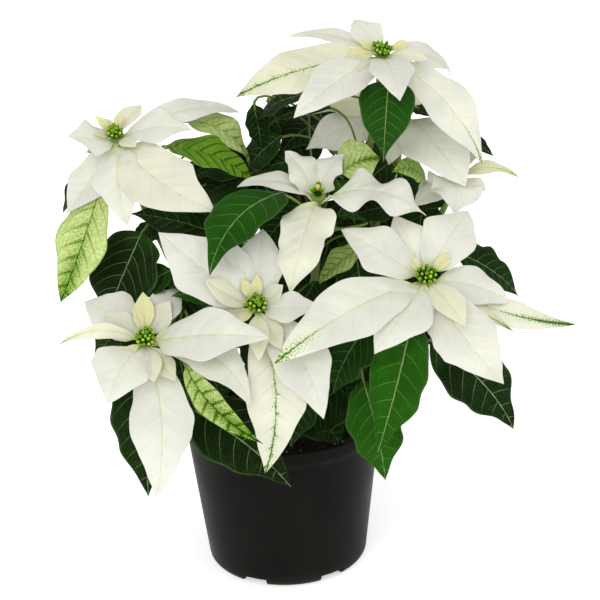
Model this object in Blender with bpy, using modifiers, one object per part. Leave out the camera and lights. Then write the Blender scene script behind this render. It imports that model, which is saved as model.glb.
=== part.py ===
"""A potted poinsettia with white bracts: pot, soil, trunk, leafy branches and nine flower heads.

Metres, +Z up, seen from -Y. The origin is the middle of the flat pad under the pot.
"""

import math

import bmesh
import bpy
import numpy as np
from mathutils import Vector

# Pot: a 13 cm tapered pot
RIM_RADIUS = 0.0650
POT_HEIGHT = 0.1020
BASE_RADIUS = 0.0515
WALL = 0.0020
COLLAR_DEPTH = 0.0080
COLLAR_STEP = 0.0012
COLLAR_DRAFT = 0.0003
LIP_EDGE = 0.0006
FOOT_HEIGHT = 0.0055
FOOT_WIDTH = 0.0075
FOOT_DRAFT = 0.0010
FOOT_ROUNDING = 0.0060
ROUNDING_STEPS = 3
FLOOR = 0.0025
PAD_RADIUS = 0.0180
PAD_DRAFT = 0.0040
NOTCHES = 6
NOTCH_ANGLE = math.radians(20)
FRONT_FOOT_HEADING = math.radians(-86)
POT_SIDES = 30
SHARP_ANGLE = math.radians(40)
WELD = 0.000001

# Soil and trunk
GAP = 0.0003
SOIL_TOP = 0.0920
SOIL_DOME = 0.0030
SOIL_RINGS = (0.30, 0.55, 0.80)
SOIL_BUMP = 0.0012
SOIL_BUMP_PITCH = 9
SOIL_SIDES = 16
HOLE_DEPTH = 0.0300
TRUNK_RADIUS = 0.0055
TRUNK_TOP = 0.1440
TRUNK_TAPER = 0.80
TRUNK_ROUNDING = 0.0018
TRUNK_SIDES = 12

# Branches and leaf stalks. The two shares shape a branch's bow: how far it leaves the trunk level, and how
# far below its head it is already upright
BRANCH_RADIUS = 0.0024
BRANCH_TIP_RADIUS = 0.0019
BRANCH_POINTS = 7
FIRST_BRANCH = 0.1050
BRANCH_STEP = 0.0042
BRANCH_ORDER = "ceidbhgfa"
BRANCH_STRAIGHT = 0.0020
BRANCH_OUT = 0.15
BRANCH_UNDER = 0.30
STALK_RADIUS = 0.0010
STALK_POINTS = 3
STALK_SHARE = 0.10
STALK_BOW = 0.30

# Heads: a hub that carries the bracts, and on it a low dome of buds, as rings of (count, radius, lean)
HUB_DEPTH = 0.0050
HUB_RADIUS = 0.0048
HUB_FOOT_RADIUS = 0.0023
HUB_SIDES = 8
HUB_DROP = 0.0080
DOME_DEPTH = 0.0030
DOME_FOOT = 0.40
DOME_TOP = 0.85
BUD_LENGTH = 0.0060
BUD_RADIUS = 0.0017
BUD_TAPER = 0.70
BUD_SIDES = 5
BUD_SINK = 0.0015
BUD_RINGS = ((1, 0.0, 0.0), (4, 0.0022, 22), (6, 0.0040, 38))
YOUNG_RINGS = ((1, 0.0, 0.0), (3, 0.0013, 30))
RING_TURN = 0.01
RING_START = (0.0, 1.0, 0.2)

# Blades: bracts and leaves. NEAR and FAR are the shares of the length where the bow's control points lie,
# NARROWING is how much slimmer a blade gets at its tip, from a share of its length on
BLADE = 0.0007
NEAR = 0.33
FAR = 0.72
BOW_GAIN = 4 / 3
OUTLINE_POWER = 1.65
NARROWING = 0.40
NARROWING_FROM = 0.58
LEAST_HALF = 0.0005
ROOT_HALF = 0.0012
ROOT_SHARE = 0.50
DROOP = 0.10
SIDE_PHASE = 1.3
TIP_PHASE = 7
LEAF_FACES = (0.0, -0.25, 0.97)
ROOT_LIFT = 0.0010
ROOT_OUT = 0.0022
ROW = 0.0135
FEWEST_ROWS = 3
MOST_ROWS = 7
COLUMNS = 2

# Outline and form of each kind of blade. peak: where it is widest; stalk: narrow share at the root;
# fold: how far each half rises, in degrees; ripple: height of the margin's waves as a share of the
# width; waves: how many; lobe: depth of the teeth as a share of the width; lobes: how many
KINDS = {
    "bract": {
        "peak": 0.46, "stalk": 0.08, "fold": 9, "ripple": 0.045, "waves": 2.0, "lobe": 0.05, "lobes": 2.5,
    },
    "crinkled": {
        "peak": 0.43, "stalk": 0.10, "fold": 6, "ripple": 0.13, "waves": 2.5, "lobe": 0.18, "lobes": 1.6,
    },
    "inner": {
        "peak": 0.50, "stalk": 0.10, "fold": 14, "ripple": 0.02, "waves": 1.0, "lobe": 0.0, "lobes": 0,
    },
    "leaf": {
        "peak": 0.38, "stalk": 0.02, "fold": 9, "ripple": 0.03, "waves": 2.5, "lobe": 0.06, "lobes": 3.5,
    },
    "heart": {
        "peak": 0.27, "stalk": 0.00, "fold": 8, "ripple": 0.02, "waves": 2.0, "lobe": 0.02, "lobes": 2.0,
    },
    "mottled": {
        "peak": 0.42, "stalk": 0.06, "fold": 12, "ripple": 0.04, "waves": 2.5, "lobe": 0.04, "lobes": 3.0,
    },
}

# Each head: the middle of its buds, the way it faces, and its bracts as (kind, tip from the middle, width,
# arch and sideways sway as shares of the length, roll in degrees)
HEADS = {
    "a": {
        "middle": (0.069, 0.000, 0.341), "faces": (0.05, -0.50, 0.86), "young": False,
        "bracts": (
            ("bract", (0.058, -0.020, -0.070), 0.033, 0.10, -0.06, 0),
            ("bract", (-0.055, -0.050, -0.028), 0.031, 0.12, -0.03, 0),
            ("bract", (-0.089, -0.015, -0.024), 0.037, 0.12, -0.03, 0),
            ("bract", (0.007, -0.050, -0.020), 0.027, 0.14, 0.00, 0),
            ("bract", (0.044, 0.030, -0.029), 0.023, 0.20, 0.00, 0),
            ("bract", (-0.057, 0.045, -0.003), 0.013, 0.08, 0.05, 0),
            ("bract", (-0.016, 0.032, 0.009), 0.020, 0.12, 0.00, 0),
            ("inner", (-0.016, -0.022, -0.009), 0.010, 0.00, 0.00, 0),
            ("inner", (0.026, -0.012, -0.006), 0.013, 0.06, 0.00, 0),
            ("bract", (0.030, 0.035, -0.047), 0.026, 0.10, 0.00, 0),
        ),
    },
    "b": {
        "middle": (-0.095, -0.010, 0.298), "faces": (-0.12, -0.50, 0.86), "young": False,
        "bracts": (
            ("bract", (0.061, -0.040, -0.041), 0.042, 0.10, 0.12, 0),
            ("bract", (0.007, -0.036, -0.049), 0.029, 0.16, 0.01, 0),
            ("bract", (-0.030, -0.021, -0.045), 0.028, 0.04, -0.04, 0),
            ("bract", (0.047, -0.006, 0.000), 0.025, 0.14, 0.00, 0),
            ("bract", (-0.027, -0.010, 0.000), 0.028, 0.10, -0.12, 0),
            ("bract", (0.075, 0.045, -0.005), 0.021, 0.14, 0.00, 0),
            ("inner", (0.015, 0.027, 0.007), 0.014, 0.10, 0.00, 0),
            ("inner", (0.014, -0.014, -0.007), 0.010, 0.05, 0.00, 0),
            ("inner", (-0.008, 0.012, 0.004), 0.008, 0.05, 0.00, 0),
            ("bract", (-0.016, 0.046, -0.030), 0.026, 0.10, 0.00, 0),
        ),
    },
    "c": {
        "middle": (-0.079, -0.075, 0.189), "faces": (0.00, -0.68, 0.73), "young": False,
        "bracts": (
            ("bract", (0.004, -0.045, -0.084), 0.037, 0.10, -0.07, 0),
            ("bract", (0.074, -0.040, 0.013), 0.033, 0.08, 0.00, 0),
            ("bract", (-0.021, -0.036, -0.027), 0.036, 0.14, 0.06, 0),
            ("bract", (-0.037, 0.022, 0.015), 0.031, 0.10, 0.04, 0),
            ("bract", (0.021, 0.032, 0.018), 0.020, 0.20, 0.00, 0),
            ("bract", (0.062, -0.050, -0.025), 0.026, 0.05, -0.15, 0),
            ("bract", (-0.050, -0.010, 0.001), 0.010, 0.14, 0.10, 55),
            ("inner", (0.006, -0.029, -0.017), 0.014, 0.02, 0.00, 0),
            ("inner", (0.018, -0.024, -0.019), 0.014, 0.00, 0.00, 0),
            ("inner", (-0.023, 0.009, 0.012), 0.016, 0.00, 0.00, 0),
            ("inner", (0.015, 0.013, 0.017), 0.016, 0.00, 0.00, 0),
        ),
    },
    "d": {
        "middle": (-0.012, -0.080, 0.210), "faces": (0.00, -0.68, 0.73), "young": False,
        "bracts": (
            ("bract", (0.002, -0.050, -0.087), 0.035, 0.08, -0.09, 0),
            ("bract", (0.037, -0.036, -0.060), 0.033, 0.10, -0.07, 0),
            ("bract", (-0.056, 0.017, 0.040), 0.037, 0.08, -0.04, 0),
            ("bract", (0.005, 0.030, 0.035), 0.031, 0.10, 0.00, 0),
            ("bract", (-0.017, 0.021, 0.035), 0.017, 0.06, 0.00, 0),
            ("bract", (0.037, -0.010, 0.000), 0.020, 0.10, 0.04, 0),
            ("inner", (-0.029, -0.004, 0.017), 0.016, -0.06, 0.00, 0),
            ("inner", (-0.034, -0.003, -0.007), 0.016, -0.06, 0.00, 0),
            ("inner", (0.016, 0.004, 0.009), 0.013, -0.06, 0.00, 0),
            ("inner", (0.001, -0.030, -0.024), 0.014, 0.06, 0.00, 0),
            ("inner", (0.014, -0.024, -0.020), 0.014, 0.02, 0.00, 0),
        ),
    },
    "e": {
        "middle": (0.090, -0.060, 0.217), "faces": (0.08, -0.62, 0.78), "young": False,
        "bracts": (
            ("bract", (-0.092, -0.060, -0.029), 0.038, 0.13, 0.00, 0),
            ("bract", (0.091, 0.010, -0.041), 0.019, -0.02, 0.05, 0),
            ("bract", (0.042, -0.038, -0.057), 0.040, 0.10, 0.07, 0),
            ("bract", (-0.034, -0.042, -0.033), 0.035, 0.18, -0.04, 0),
            ("bract", (-0.050, 0.015, 0.024), 0.032, 0.12, -0.04, 0),
            ("bract", (0.028, 0.035, 0.026), 0.034, 0.16, 0.00, 0),
            ("inner", (0.020, -0.031, -0.022), 0.020, 0.08, 0.00, 0),
            ("bract", (0.051, 0.010, -0.025), 0.026, 0.09, -0.04, 0),
            ("bract", (0.051, -0.006, -0.037), 0.009, 0.02, 0.00, 0),
            ("inner", (0.004, 0.017, 0.013), 0.011, -0.08, 0.00, 0),
            ("inner", (-0.009, -0.019, -0.010), 0.009, 0.00, 0.00, 0),
            ("bract", (-0.017, 0.032, 0.026), 0.026, 0.10, 0.00, 0),
        ),
    },
    "f": {
        "middle": (0.027, -0.025, 0.261), "faces": (0.00, -0.30, 0.95), "young": True,
        "bracts": (
            ("crinkled", (-0.019, -0.049, -0.049), 0.034, 0.30, -0.05, 0),
            ("crinkled", (0.064, -0.020, -0.013), 0.036, 0.20, 0.00, 0),
            ("crinkled", (0.017, 0.013, 0.017), 0.020, 0.12, -0.10, 0),
            ("bract", (-0.049, 0.005, 0.001), 0.018, 0.20, 0.00, 0),
            ("crinkled", (-0.019, 0.013, 0.020), 0.024, 0.14, 0.00, 0),
        ),
    },
    "g": {
        "middle": (0.085, 0.036, 0.294), "faces": (0.05, -0.40, 0.90), "young": True,
        "bracts": (
            ("bract", (0.033, -0.044, -0.041), 0.046, 0.18, 0.06, 0),
            ("bract", (-0.066, 0.000, -0.004), 0.026, 0.16, 0.00, 0),
            ("crinkled", (-0.013, -0.026, -0.031), 0.024, 0.14, 0.00, 0),
            ("bract", (0.030, 0.048, -0.018), 0.028, 0.16, 0.00, 0),
            ("crinkled", (-0.064, -0.020, -0.021), 0.028, 0.10, 0.00, 35),
        ),
    },
    "h": {
        "middle": (0.026, 0.082, 0.188), "faces": (0.00, 0.45, 0.89), "young": False,
        "bracts": (
            ("bract", (0.004, 0.062, -0.022), 0.034, 0.14, 0.00, 0),
            ("bract", (0.052, 0.036, -0.018), 0.032, 0.14, 0.00, 0),
            ("bract", (-0.056, 0.034, -0.022), 0.032, 0.14, 0.00, 0),
            ("bract", (0.046, -0.022, 0.004), 0.028, 0.14, 0.00, 0),
            ("bract", (-0.040, -0.026, 0.002), 0.028, 0.14, 0.00, 0),
            ("inner", (0.018, 0.022, 0.000), 0.014, -0.04, 0.00, 0),
            ("inner", (-0.020, 0.018, 0.000), 0.014, -0.04, 0.00, 0),
            ("inner", (0.002, -0.030, 0.006), 0.014, 0.00, 0.00, 0),
        ),
    },
    "i": {
        "middle": (0.115, 0.016, 0.256), "faces": (0.15, -0.45, 0.88), "young": True,
        "bracts": (
            ("crinkled", (-0.004, -0.032, -0.018), 0.038, 0.30, 0.03, 0),
            ("bract", (-0.028, -0.014, -0.018), 0.018, 0.10, 0.00, 0),
            ("bract", (0.037, -0.012, -0.002), 0.013, 0.24, 0.00, 0),
            ("bract", (0.000, 0.042, 0.002), 0.028, 0.16, 0.00, 0),
        ),
    },
}

# Each leaf: (kind, share of the branch below it, blade's base, blade's tip, width, arch, sway, roll)
LEAVES = {
    "a": (
        ("heart", 0.90, (0.071, -0.025, 0.326), (0.066, -0.048, 0.284), 0.034, 0.08, 0.00, 0),
        ("leaf", 0.82, (0.022, 0.020, 0.307), (-0.012, 0.034, 0.282), 0.029, 0.14, 0.00, 0),
        ("leaf", 0.70, (0.037, 0.056, 0.277), (0.004, 0.038, 0.260), 0.032, 0.22, 0.00, 0),
        ("leaf", 0.66, (0.074, 0.018, 0.262), (0.044, -0.002, 0.238), 0.036, 0.10, 0.00, 0),
    ),
    "b": (
        ("mottled", 0.95, (-0.103, -0.024, 0.270), (-0.132, -0.040, 0.199), 0.039, 0.08, -0.08, 0),
        ("mottled", 0.93, (-0.057, 0.022, 0.293), (-0.015, 0.022, 0.262), 0.030, 0.22, 0.00, 0),
        ("mottled", 0.88, (-0.067, -0.006, 0.285), (-0.012, -0.013, 0.263), 0.032, 0.12, 0.00, 0),
        ("leaf", 0.66, (-0.080, -0.028, 0.239), (-0.106, -0.046, 0.184), 0.051, 0.06, -0.02, 0),
        ("leaf", 0.80, (-0.110, 0.030, 0.262), (-0.134, 0.020, 0.236), 0.020, 0.10, 0.00, 0),
        ("leaf", 0.70, (-0.062, 0.034, 0.250), (-0.062, 0.078, 0.222), 0.036, 0.14, 0.00, 0),
    ),
    "c": (
        ("leaf", 0.55, (-0.060, -0.060, 0.136), (0.004, -0.090, 0.093), 0.043, 0.08, 0.00, -25),
        ("leaf", 0.70, (-0.091, -0.066, 0.164), (-0.082, -0.096, 0.093), 0.034, 0.08, -0.02, 0),
        ("mottled", 0.80, (-0.056, -0.082, 0.175), (-0.010, -0.150, 0.152), 0.016, 0.03, 0.10, -30),
        ("leaf", 0.86, (-0.058, -0.040, 0.202), (-0.092, -0.040, 0.204), 0.016, 0.10, 0.00, 0),
        ("leaf", 0.80, (-0.093, -0.055, 0.189), (-0.111, -0.060, 0.167), 0.027, 0.10, 0.00, 0),
        ("leaf", 0.45, (-0.062, -0.006, 0.150), (-0.096, 0.014, 0.106), 0.040, 0.12, 0.00, 0),
    ),
    "d": (
        ("leaf", 0.45, (0.014, -0.048, 0.150), (0.005, -0.066, 0.108), 0.032, 0.10, 0.00, 0),
        ("leaf", 0.80, (-0.036, -0.048, 0.214), (-0.074, -0.045, 0.209), 0.024, 0.10, 0.00, 0),
        ("leaf", 0.70, (0.024, -0.024, 0.200), (0.008, -0.050, 0.178), 0.034, 0.10, 0.00, -20),
    ),
    "e": (
        ("leaf", 0.84, (0.080, -0.080, 0.198), (0.057, -0.098, 0.118), 0.037, 0.04, -0.03, 0),
        ("leaf", 0.50, (0.050, -0.062, 0.150), (0.062, -0.078, 0.089), 0.036, 0.08, 0.00, 0),
        ("leaf", 0.66, (0.058, -0.062, 0.190), (0.032, -0.068, 0.144), 0.040, 0.10, 0.00, 0),
        ("leaf", 0.60, (0.092, -0.044, 0.167), (0.145, -0.040, 0.102), 0.040, 0.08, 0.00, -45),
        ("leaf", 0.78, (0.113, -0.012, 0.211), (0.151, -0.010, 0.180), 0.028, 0.08, 0.00, -15),
    ),
    "f": (
        ("leaf", 0.76, (0.006, -0.038, 0.263), (-0.038, -0.093, 0.233), 0.038, 0.14, 0.06, 0),
        ("leaf", 0.80, (-0.014, 0.004, 0.258), (-0.046, 0.006, 0.244), 0.044, 0.14, 0.00, 0),
        ("leaf", 0.62, (-0.036, -0.006, 0.227), (-0.089, -0.010, 0.244), 0.040, 0.10, -0.08, 0),
        ("mottled", 0.84, (0.056, -0.030, 0.226), (0.026, -0.038, 0.204), 0.022, 0.08, 0.00, 0),
        ("mottled", 0.94, (0.040, -0.014, 0.266), (0.066, -0.008, 0.273), 0.029, 0.12, 0.00, -40),
        ("leaf", 0.72, (0.048, -0.014, 0.226), (0.052, -0.028, 0.180), 0.032, 0.10, 0.00, 0),
        ("leaf", 0.76, (0.008, 0.030, 0.256), (-0.014, 0.066, 0.232), 0.032, 0.12, 0.00, 0),
    ),
    "g": (
        ("leaf", 0.84, (0.112, 0.048, 0.273), (0.139, 0.026, 0.261), 0.018, 0.06, 0.00, 0),
        ("mottled", 0.80, (0.095, 0.008, 0.251), (0.073, -0.008, 0.264), 0.018, 0.20, 0.00, 35),
        ("leaf", 0.70, (0.056, 0.062, 0.262), (0.040, 0.104, 0.240), 0.036, 0.14, 0.00, 0),
        ("leaf", 0.60, (0.034, 0.050, 0.236), (-0.014, 0.078, 0.216), 0.036, 0.14, 0.00, 0),
    ),
    "h": (
        ("leaf", 0.80, (0.056, 0.090, 0.160), (0.094, 0.106, 0.122), 0.040, 0.14, 0.00, 0),
        ("leaf", 0.70, (0.010, 0.096, 0.146), (-0.006, 0.124, 0.096), 0.042, 0.12, 0.00, 0),
        ("leaf", 0.60, (-0.022, 0.066, 0.158), (-0.066, 0.084, 0.122), 0.040, 0.14, 0.00, 0),
        ("leaf", 0.50, (0.044, 0.066, 0.128), (0.070, 0.096, 0.092), 0.036, 0.12, 0.00, 0),
    ),
    "i": (
        ("leaf", 0.74, (0.112, 0.036, 0.210), (0.126, 0.062, 0.164), 0.036, 0.12, 0.00, 0),
        ("leaf", 0.50, (0.072, 0.046, 0.156), (0.114, 0.056, 0.118), 0.040, 0.12, 0.00, 0),
    ),
}

# Colours in linear light, roughness
LOOKS = {
    "pot": ((0.012, 0.012, 0.011), 0.45),
    "soil": ((0.030, 0.018, 0.010), 0.95),
    "trunk": ((0.160, 0.110, 0.060), 0.80),
    "leafy": ((0.020, 0.085, 0.012), 0.45),
    "bracts": ((0.800, 0.800, 0.680), 0.50),
    "buds": ((0.220, 0.380, 0.040), 0.40),
}


def clear_scene():
    for obj in list(bpy.data.objects):
        bpy.data.objects.remove(obj, do_unlink=True)


def material(name):
    colour, roughness = LOOKS[name]
    made = bpy.data.materials.get(name) or bpy.data.materials.new(name)
    made.use_nodes = True
    shader = made.node_tree.nodes["Principled BSDF"]
    shader.inputs["Base Color"].default_value = (*colour, 1)
    shader.inputs["Roughness"].default_value = roughness
    shader.inputs["Metallic"].default_value = 0
    return made


def unit(vector):
    vector = np.asarray(vector, float)
    return vector / np.linalg.norm(vector)


def add_object(name, mesh, collection, look):
    obj = bpy.data.objects.new(name, mesh)
    collection.objects.link(obj)
    mesh.materials.clear()
    mesh.materials.append(material(look))
    return obj


def turned(name, profile, collection, look, sides):
    """A turned solid from a profile of (radius, height) that runs down its outer side."""
    mesh = bpy.data.meshes.new(name)
    mesh.from_pydata([(r, 0, z) for r, z in profile], [(i, i + 1) for i in range(len(profile) - 1)], [])
    obj = add_object(name, mesh, collection, look)
    screw = obj.modifiers.new("turn", "SCREW")
    screw.steps = screw.render_steps = sides
    screw.use_merge_vertices = True
    screw.merge_threshold = 10 * WELD
    return obj


def plain(obj):
    """The object with its modifiers or its curve made into one welded mesh."""
    graph = bpy.context.evaluated_depsgraph_get()
    mesh = bpy.data.meshes.new_from_object(obj.evaluated_get(graph))
    work = bmesh.new()
    work.from_mesh(mesh)
    work.transform(obj.matrix_world)
    bmesh.ops.remove_doubles(work, verts=work.verts, dist=WELD)
    work.to_mesh(mesh)
    work.free()
    made = bpy.data.objects.new(obj.name + "_mesh", mesh)
    for collection in obj.users_collection:
        collection.objects.link(made)
    name = obj.name
    bpy.data.objects.remove(obj, do_unlink=True)
    made.name = name
    return made


def hide(obj):
    obj.hide_render = True
    obj.display_type = "WIRE"


def cut(obj, cutter):
    hide(cutter)
    modifier = obj.modifiers.new(cutter.name, "BOOLEAN")
    modifier.operation = "DIFFERENCE"
    modifier.object = cutter


def smooth(obj):
    obj.data.shade_smooth()
    obj.data.set_sharp_from_angle(angle=SHARP_ANGLE)


# Pot, soil and trunk


def wall_radius(height):
    """The pot's outer radius, below its collar."""
    return BASE_RADIUS + (RIM_RADIUS - COLLAR_STEP - BASE_RADIUS) * height / POT_HEIGHT


def build_pot(parts, cutters):
    collar_low = POT_HEIGHT - COLLAR_DEPTH
    rounding = []
    for step in range(ROUNDING_STEPS + 1):
        angle = math.pi / 2 * step / ROUNDING_STEPS
        radius = wall_radius(FOOT_ROUNDING) - FOOT_ROUNDING * (1 - math.cos(angle))
        rounding.append((radius, FOOT_ROUNDING * (1 - math.sin(angle))))
    foot_inner = rounding[-1][0] - FOOT_WIDTH
    inner_low = FOOT_HEIGHT + FLOOR
    profile = [
        (0, inner_low),
        (wall_radius(inner_low) - WALL, inner_low),
        (wall_radius(POT_HEIGHT) - WALL, POT_HEIGHT),
        (RIM_RADIUS - LIP_EDGE, POT_HEIGHT),
        (RIM_RADIUS, POT_HEIGHT - LIP_EDGE),
        (RIM_RADIUS - COLLAR_DRAFT, collar_low),
        (wall_radius(collar_low), collar_low - COLLAR_STEP),
        *rounding,
        (foot_inner, 0),
        (foot_inner - FOOT_DRAFT, FOOT_HEIGHT),
        (PAD_RADIUS + PAD_DRAFT, FOOT_HEIGHT),
        (PAD_RADIUS, 0),
        (0, 0),
    ]
    pot = turned("pot", profile, parts, "pot", POT_SIDES)
    for index in range(NOTCHES):
        heading = FRONT_FOOT_HEADING + (index + 0.5) * math.tau / NOTCHES
        bpy.ops.mesh.primitive_cube_add(size=1)
        cutter = bpy.context.object
        cutter.name = f"notch_{index + 1}"
        cutter.scale = (FOOT_WIDTH * 3, 2 * BASE_RADIUS * math.sin(NOTCH_ANGLE / 2), 2 * FOOT_HEIGHT)
        cutter.rotation_euler.z = heading
        cutter.location = (BASE_RADIUS * math.cos(heading), BASE_RADIUS * math.sin(heading), 0)
        for collection in cutter.users_collection:
            collection.objects.unlink(cutter)
        cutters.objects.link(cutter)
        cut(pot, cutter)
    smooth(pot)
    return pot


def build_soil(parts, cutters):
    floor = FOOT_HEIGHT + FLOOR + GAP
    bottom = wall_radius(floor) - WALL - 2 * GAP
    top = wall_radius(SOIL_TOP) - WALL - 2 * GAP
    profile = [(0, SOIL_TOP + SOIL_DOME)]
    for share in SOIL_RINGS:
        bump = SOIL_BUMP * math.sin(SOIL_BUMP_PITCH * share)
        profile.append((top * share, SOIL_TOP + SOIL_DOME * math.cos(share * math.pi / 2) + bump))
    profile += [(top, SOIL_TOP), (bottom, floor), (0, floor)]
    soil = turned("soil", profile, parts, "soil", SOIL_SIDES)
    hole_radius = (TRUNK_RADIUS + GAP) / math.cos(math.pi / TRUNK_SIDES)
    bpy.ops.mesh.primitive_cylinder_add(vertices=TRUNK_SIDES, radius=hole_radius, depth=2 * HOLE_DEPTH)
    hole = bpy.context.object
    hole.name = "trunk_hole"
    hole.location.z = SOIL_TOP
    for collection in hole.users_collection:
        collection.objects.unlink(hole)
    cutters.objects.link(hole)
    cut(soil, hole)
    return soil


def trunk_radius(height):
    """The trunk narrows from the soil to its top."""
    return TRUNK_RADIUS * (1 - (1 - TRUNK_TAPER) * (height - SOIL_TOP) / (TRUNK_TOP - SOIL_TOP))


def build_trunk(parts):
    low = SOIL_TOP - HOLE_DEPTH + GAP
    shoulder = TRUNK_TOP - TRUNK_ROUNDING
    profile = [
        (0, TRUNK_TOP),
        (trunk_radius(TRUNK_TOP) - TRUNK_ROUNDING, TRUNK_TOP),
        (trunk_radius(shoulder), shoulder),
        (TRUNK_RADIUS, SOIL_TOP),
        (TRUNK_RADIUS, low),
        (0, low),
    ]
    trunk = turned("trunk", profile, parts, "trunk", TRUNK_SIDES)
    smooth(trunk)
    return trunk


# Branches and stalks


def bezier(points, share):
    """A point on the Bezier curve through four control points, for a share from 0 to 1 or an array."""
    share = np.asarray(share, float)[..., None]
    rest = 1 - share
    a, b, c, d = (np.asarray(p, float) for p in points)
    return rest**3 * a + 3 * rest**2 * share * b + 3 * rest * share**2 * c + share**3 * d


def branch_points(name, share):
    """Points of a head's branch, from the trunk's side to just under the hub, and straight at both ends."""
    head = HEADS[name]
    middle = np.array(head["middle"])
    faces = unit(head["faces"])
    heading = unit((middle[0], middle[1], 0))
    height = FIRST_BRANCH + BRANCH_STEP * BRANCH_ORDER.index(name)
    start = heading * (trunk_radius(height) + GAP + BRANCH_STRAIGHT) + (0, 0, height)
    end = middle - faces * (HUB_DROP + HUB_DEPTH / 2 + GAP + BRANCH_STRAIGHT)
    reach = np.linalg.norm(end - start)
    control = (start, start + heading * BRANCH_OUT * reach, end - faces * BRANCH_UNDER * reach, end)
    return bezier(control, share)


def branch_path(name):
    """The whole branch as points, with its straight ends."""
    inner = branch_points(name, np.linspace(0, 1, BRANCH_POINTS))
    middle = np.array(HEADS[name]["middle"])
    first = inner[0] - unit((middle[0], middle[1], 0)) * BRANCH_STRAIGHT
    last = inner[-1] + unit(HEADS[name]["faces"]) * BRANCH_STRAIGHT
    return np.vstack([first, inner, last])


def tube(name, path, radius, tip_radius, resolution, parts):
    """A closed tube along a list of points."""
    data = bpy.data.curves.new(name, "CURVE")
    data.dimensions = "3D"
    data.bevel_depth = radius
    data.bevel_resolution = resolution
    data.use_fill_caps = True
    spline = data.splines.new("POLY")
    spline.points.add(len(path) - 1)
    for index, point in enumerate(path):
        spline.points[index].co = (*point, 1)
        share = index / (len(path) - 1)
        spline.points[index].radius = 1 + (tip_radius / radius - 1) * share
    obj = bpy.data.objects.new(name, data)
    parts.objects.link(obj)
    return plain(obj)


# Blades


def make_blade(kind, base, tip, width, arch, sway, roll, face):
    """What blade_points needs, as one record."""
    return {
        "kind": kind,
        "base": np.array(base, float),
        "tip": np.array(tip, float),
        "width": width,
        "arch": arch,
        "sway": sway,
        "roll": roll,
        "face": unit(face),
    }


def half_width(kind, share):
    """Half the width of a blade 1 wide, at a share of its length."""
    stalk, peak = kind["stalk"], kind["peak"]
    along = np.clip((share - stalk) / (1 - stalk), 0, 1)
    outline = (along / peak) ** peak * ((1 - along) / (1 - peak)) ** (1 - peak)
    teeth = 1 + kind["lobe"] * np.sin(math.tau * kind["lobes"] * along)
    narrowing = 1 - NARROWING * np.clip((along - NARROWING_FROM) / (1 - NARROWING_FROM), 0, 1)
    return 0.5 * outline**OUTLINE_POWER * narrowing * teeth


def blade_points(blade, share, across):
    """Points of the blade's middle sheet. share runs from root to tip, across from -1 to 1."""
    kind = KINDS[blade["kind"]]
    base, tip = blade["base"], blade["tip"]
    chord = tip - base
    length = np.linalg.norm(chord)
    side = unit(np.cross(chord, blade["face"]))
    lift = np.cross(side, chord / length)
    bow = (lift * blade["arch"] + side * blade["sway"]) * length * BOW_GAIN
    control = (base, base + NEAR * chord + bow, base + FAR * chord + bow, tip)
    middle = bezier(control, share)
    ahead = bezier(control, share + 0.01) - bezier(control, share - 0.01)
    ahead /= np.linalg.norm(ahead, axis=-1, keepdims=True)
    up = np.cross(side, ahead)
    roll = math.radians(blade["roll"])
    wide = side * math.cos(roll) + up * math.sin(roll)
    up = np.cross(wide, ahead)
    least = np.where(share < ROOT_SHARE, ROOT_HALF, LEAST_HALF)
    half = np.maximum(half_width(kind, share) * blade["width"], least)
    fold = math.radians(kind["fold"])
    out = (across * half)[..., None] * wide * math.cos(fold)
    rise = np.abs(across) * half * math.sin(fold) - DROOP * across**2 * half
    phase = TIP_PHASE * abs(tip[0]) / length
    wave = np.sin(math.tau * (kind["waves"] * share + phase) + SIDE_PHASE * np.sign(across))
    rise += kind["ripple"] * blade["width"] * across**2 * wave * np.sin(math.pi * np.clip(share, 0, 1)) ** 0.5
    return middle + out + rise[..., None] * up


def blade_grid(blade):
    """How many faces the blade has along and across."""
    length = np.linalg.norm(blade["tip"] - blade["base"])
    return int(np.clip(round(length / ROW), FEWEST_ROWS, MOST_ROWS)), COLUMNS


def blade_object(name, blade, parts):
    """The blade as a solid: a grid laid on the blade's sheet, split into triangles and thickened."""
    rows, columns = blade_grid(blade)
    work = bmesh.new()
    bmesh.ops.create_grid(work, x_segments=rows, y_segments=columns, size=1)
    for vertex in work.verts:
        share = np.array([(vertex.co.x + 1) / 2])
        vertex.co = blade_points(blade, share, np.array([vertex.co.y]))[0]
    bmesh.ops.triangulate(work, faces=work.faces)
    mesh = bpy.data.meshes.new(name)
    work.to_mesh(mesh)
    work.free()
    obj = bpy.data.objects.new(name, mesh)
    parts.objects.link(obj)
    solidify = obj.modifiers.new("thickness", "SOLIDIFY")
    solidify.thickness = BLADE
    solidify.offset = 0
    return plain(obj)


def stalk_path(blade, start):
    """A leaf stalk from its branch, up and out, to a little way along under the blade's midrib."""
    start = np.asarray(start)
    tip = blade_points(blade, np.array([STALK_SHARE]), np.array([0.0]))[0]
    reach = np.linalg.norm(blade["base"] - start)
    into = unit(tip - blade["base"])
    bow = STALK_BOW * reach
    control = (start, start + (0, 0, bow), blade["base"] - bow * into, tip)
    return bezier(control, np.linspace(0, 1, STALK_POINTS))


# Fused nodes


def primitive(name, parts, place, along, **sizes):
    """A cone or cylinder whose axis points along a direction, its middle at a place."""
    bpy.ops.mesh.primitive_cone_add(**sizes)
    obj = bpy.context.object
    obj.name = name
    obj.rotation_mode = "QUATERNION"
    obj.rotation_quaternion = Vector((0, 0, 1)).rotation_difference(Vector(along))
    obj.location = place
    for collection in obj.users_collection:
        collection.objects.unlink(obj)
    parts.objects.link(obj)
    bpy.context.view_layer.update()
    return obj


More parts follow.
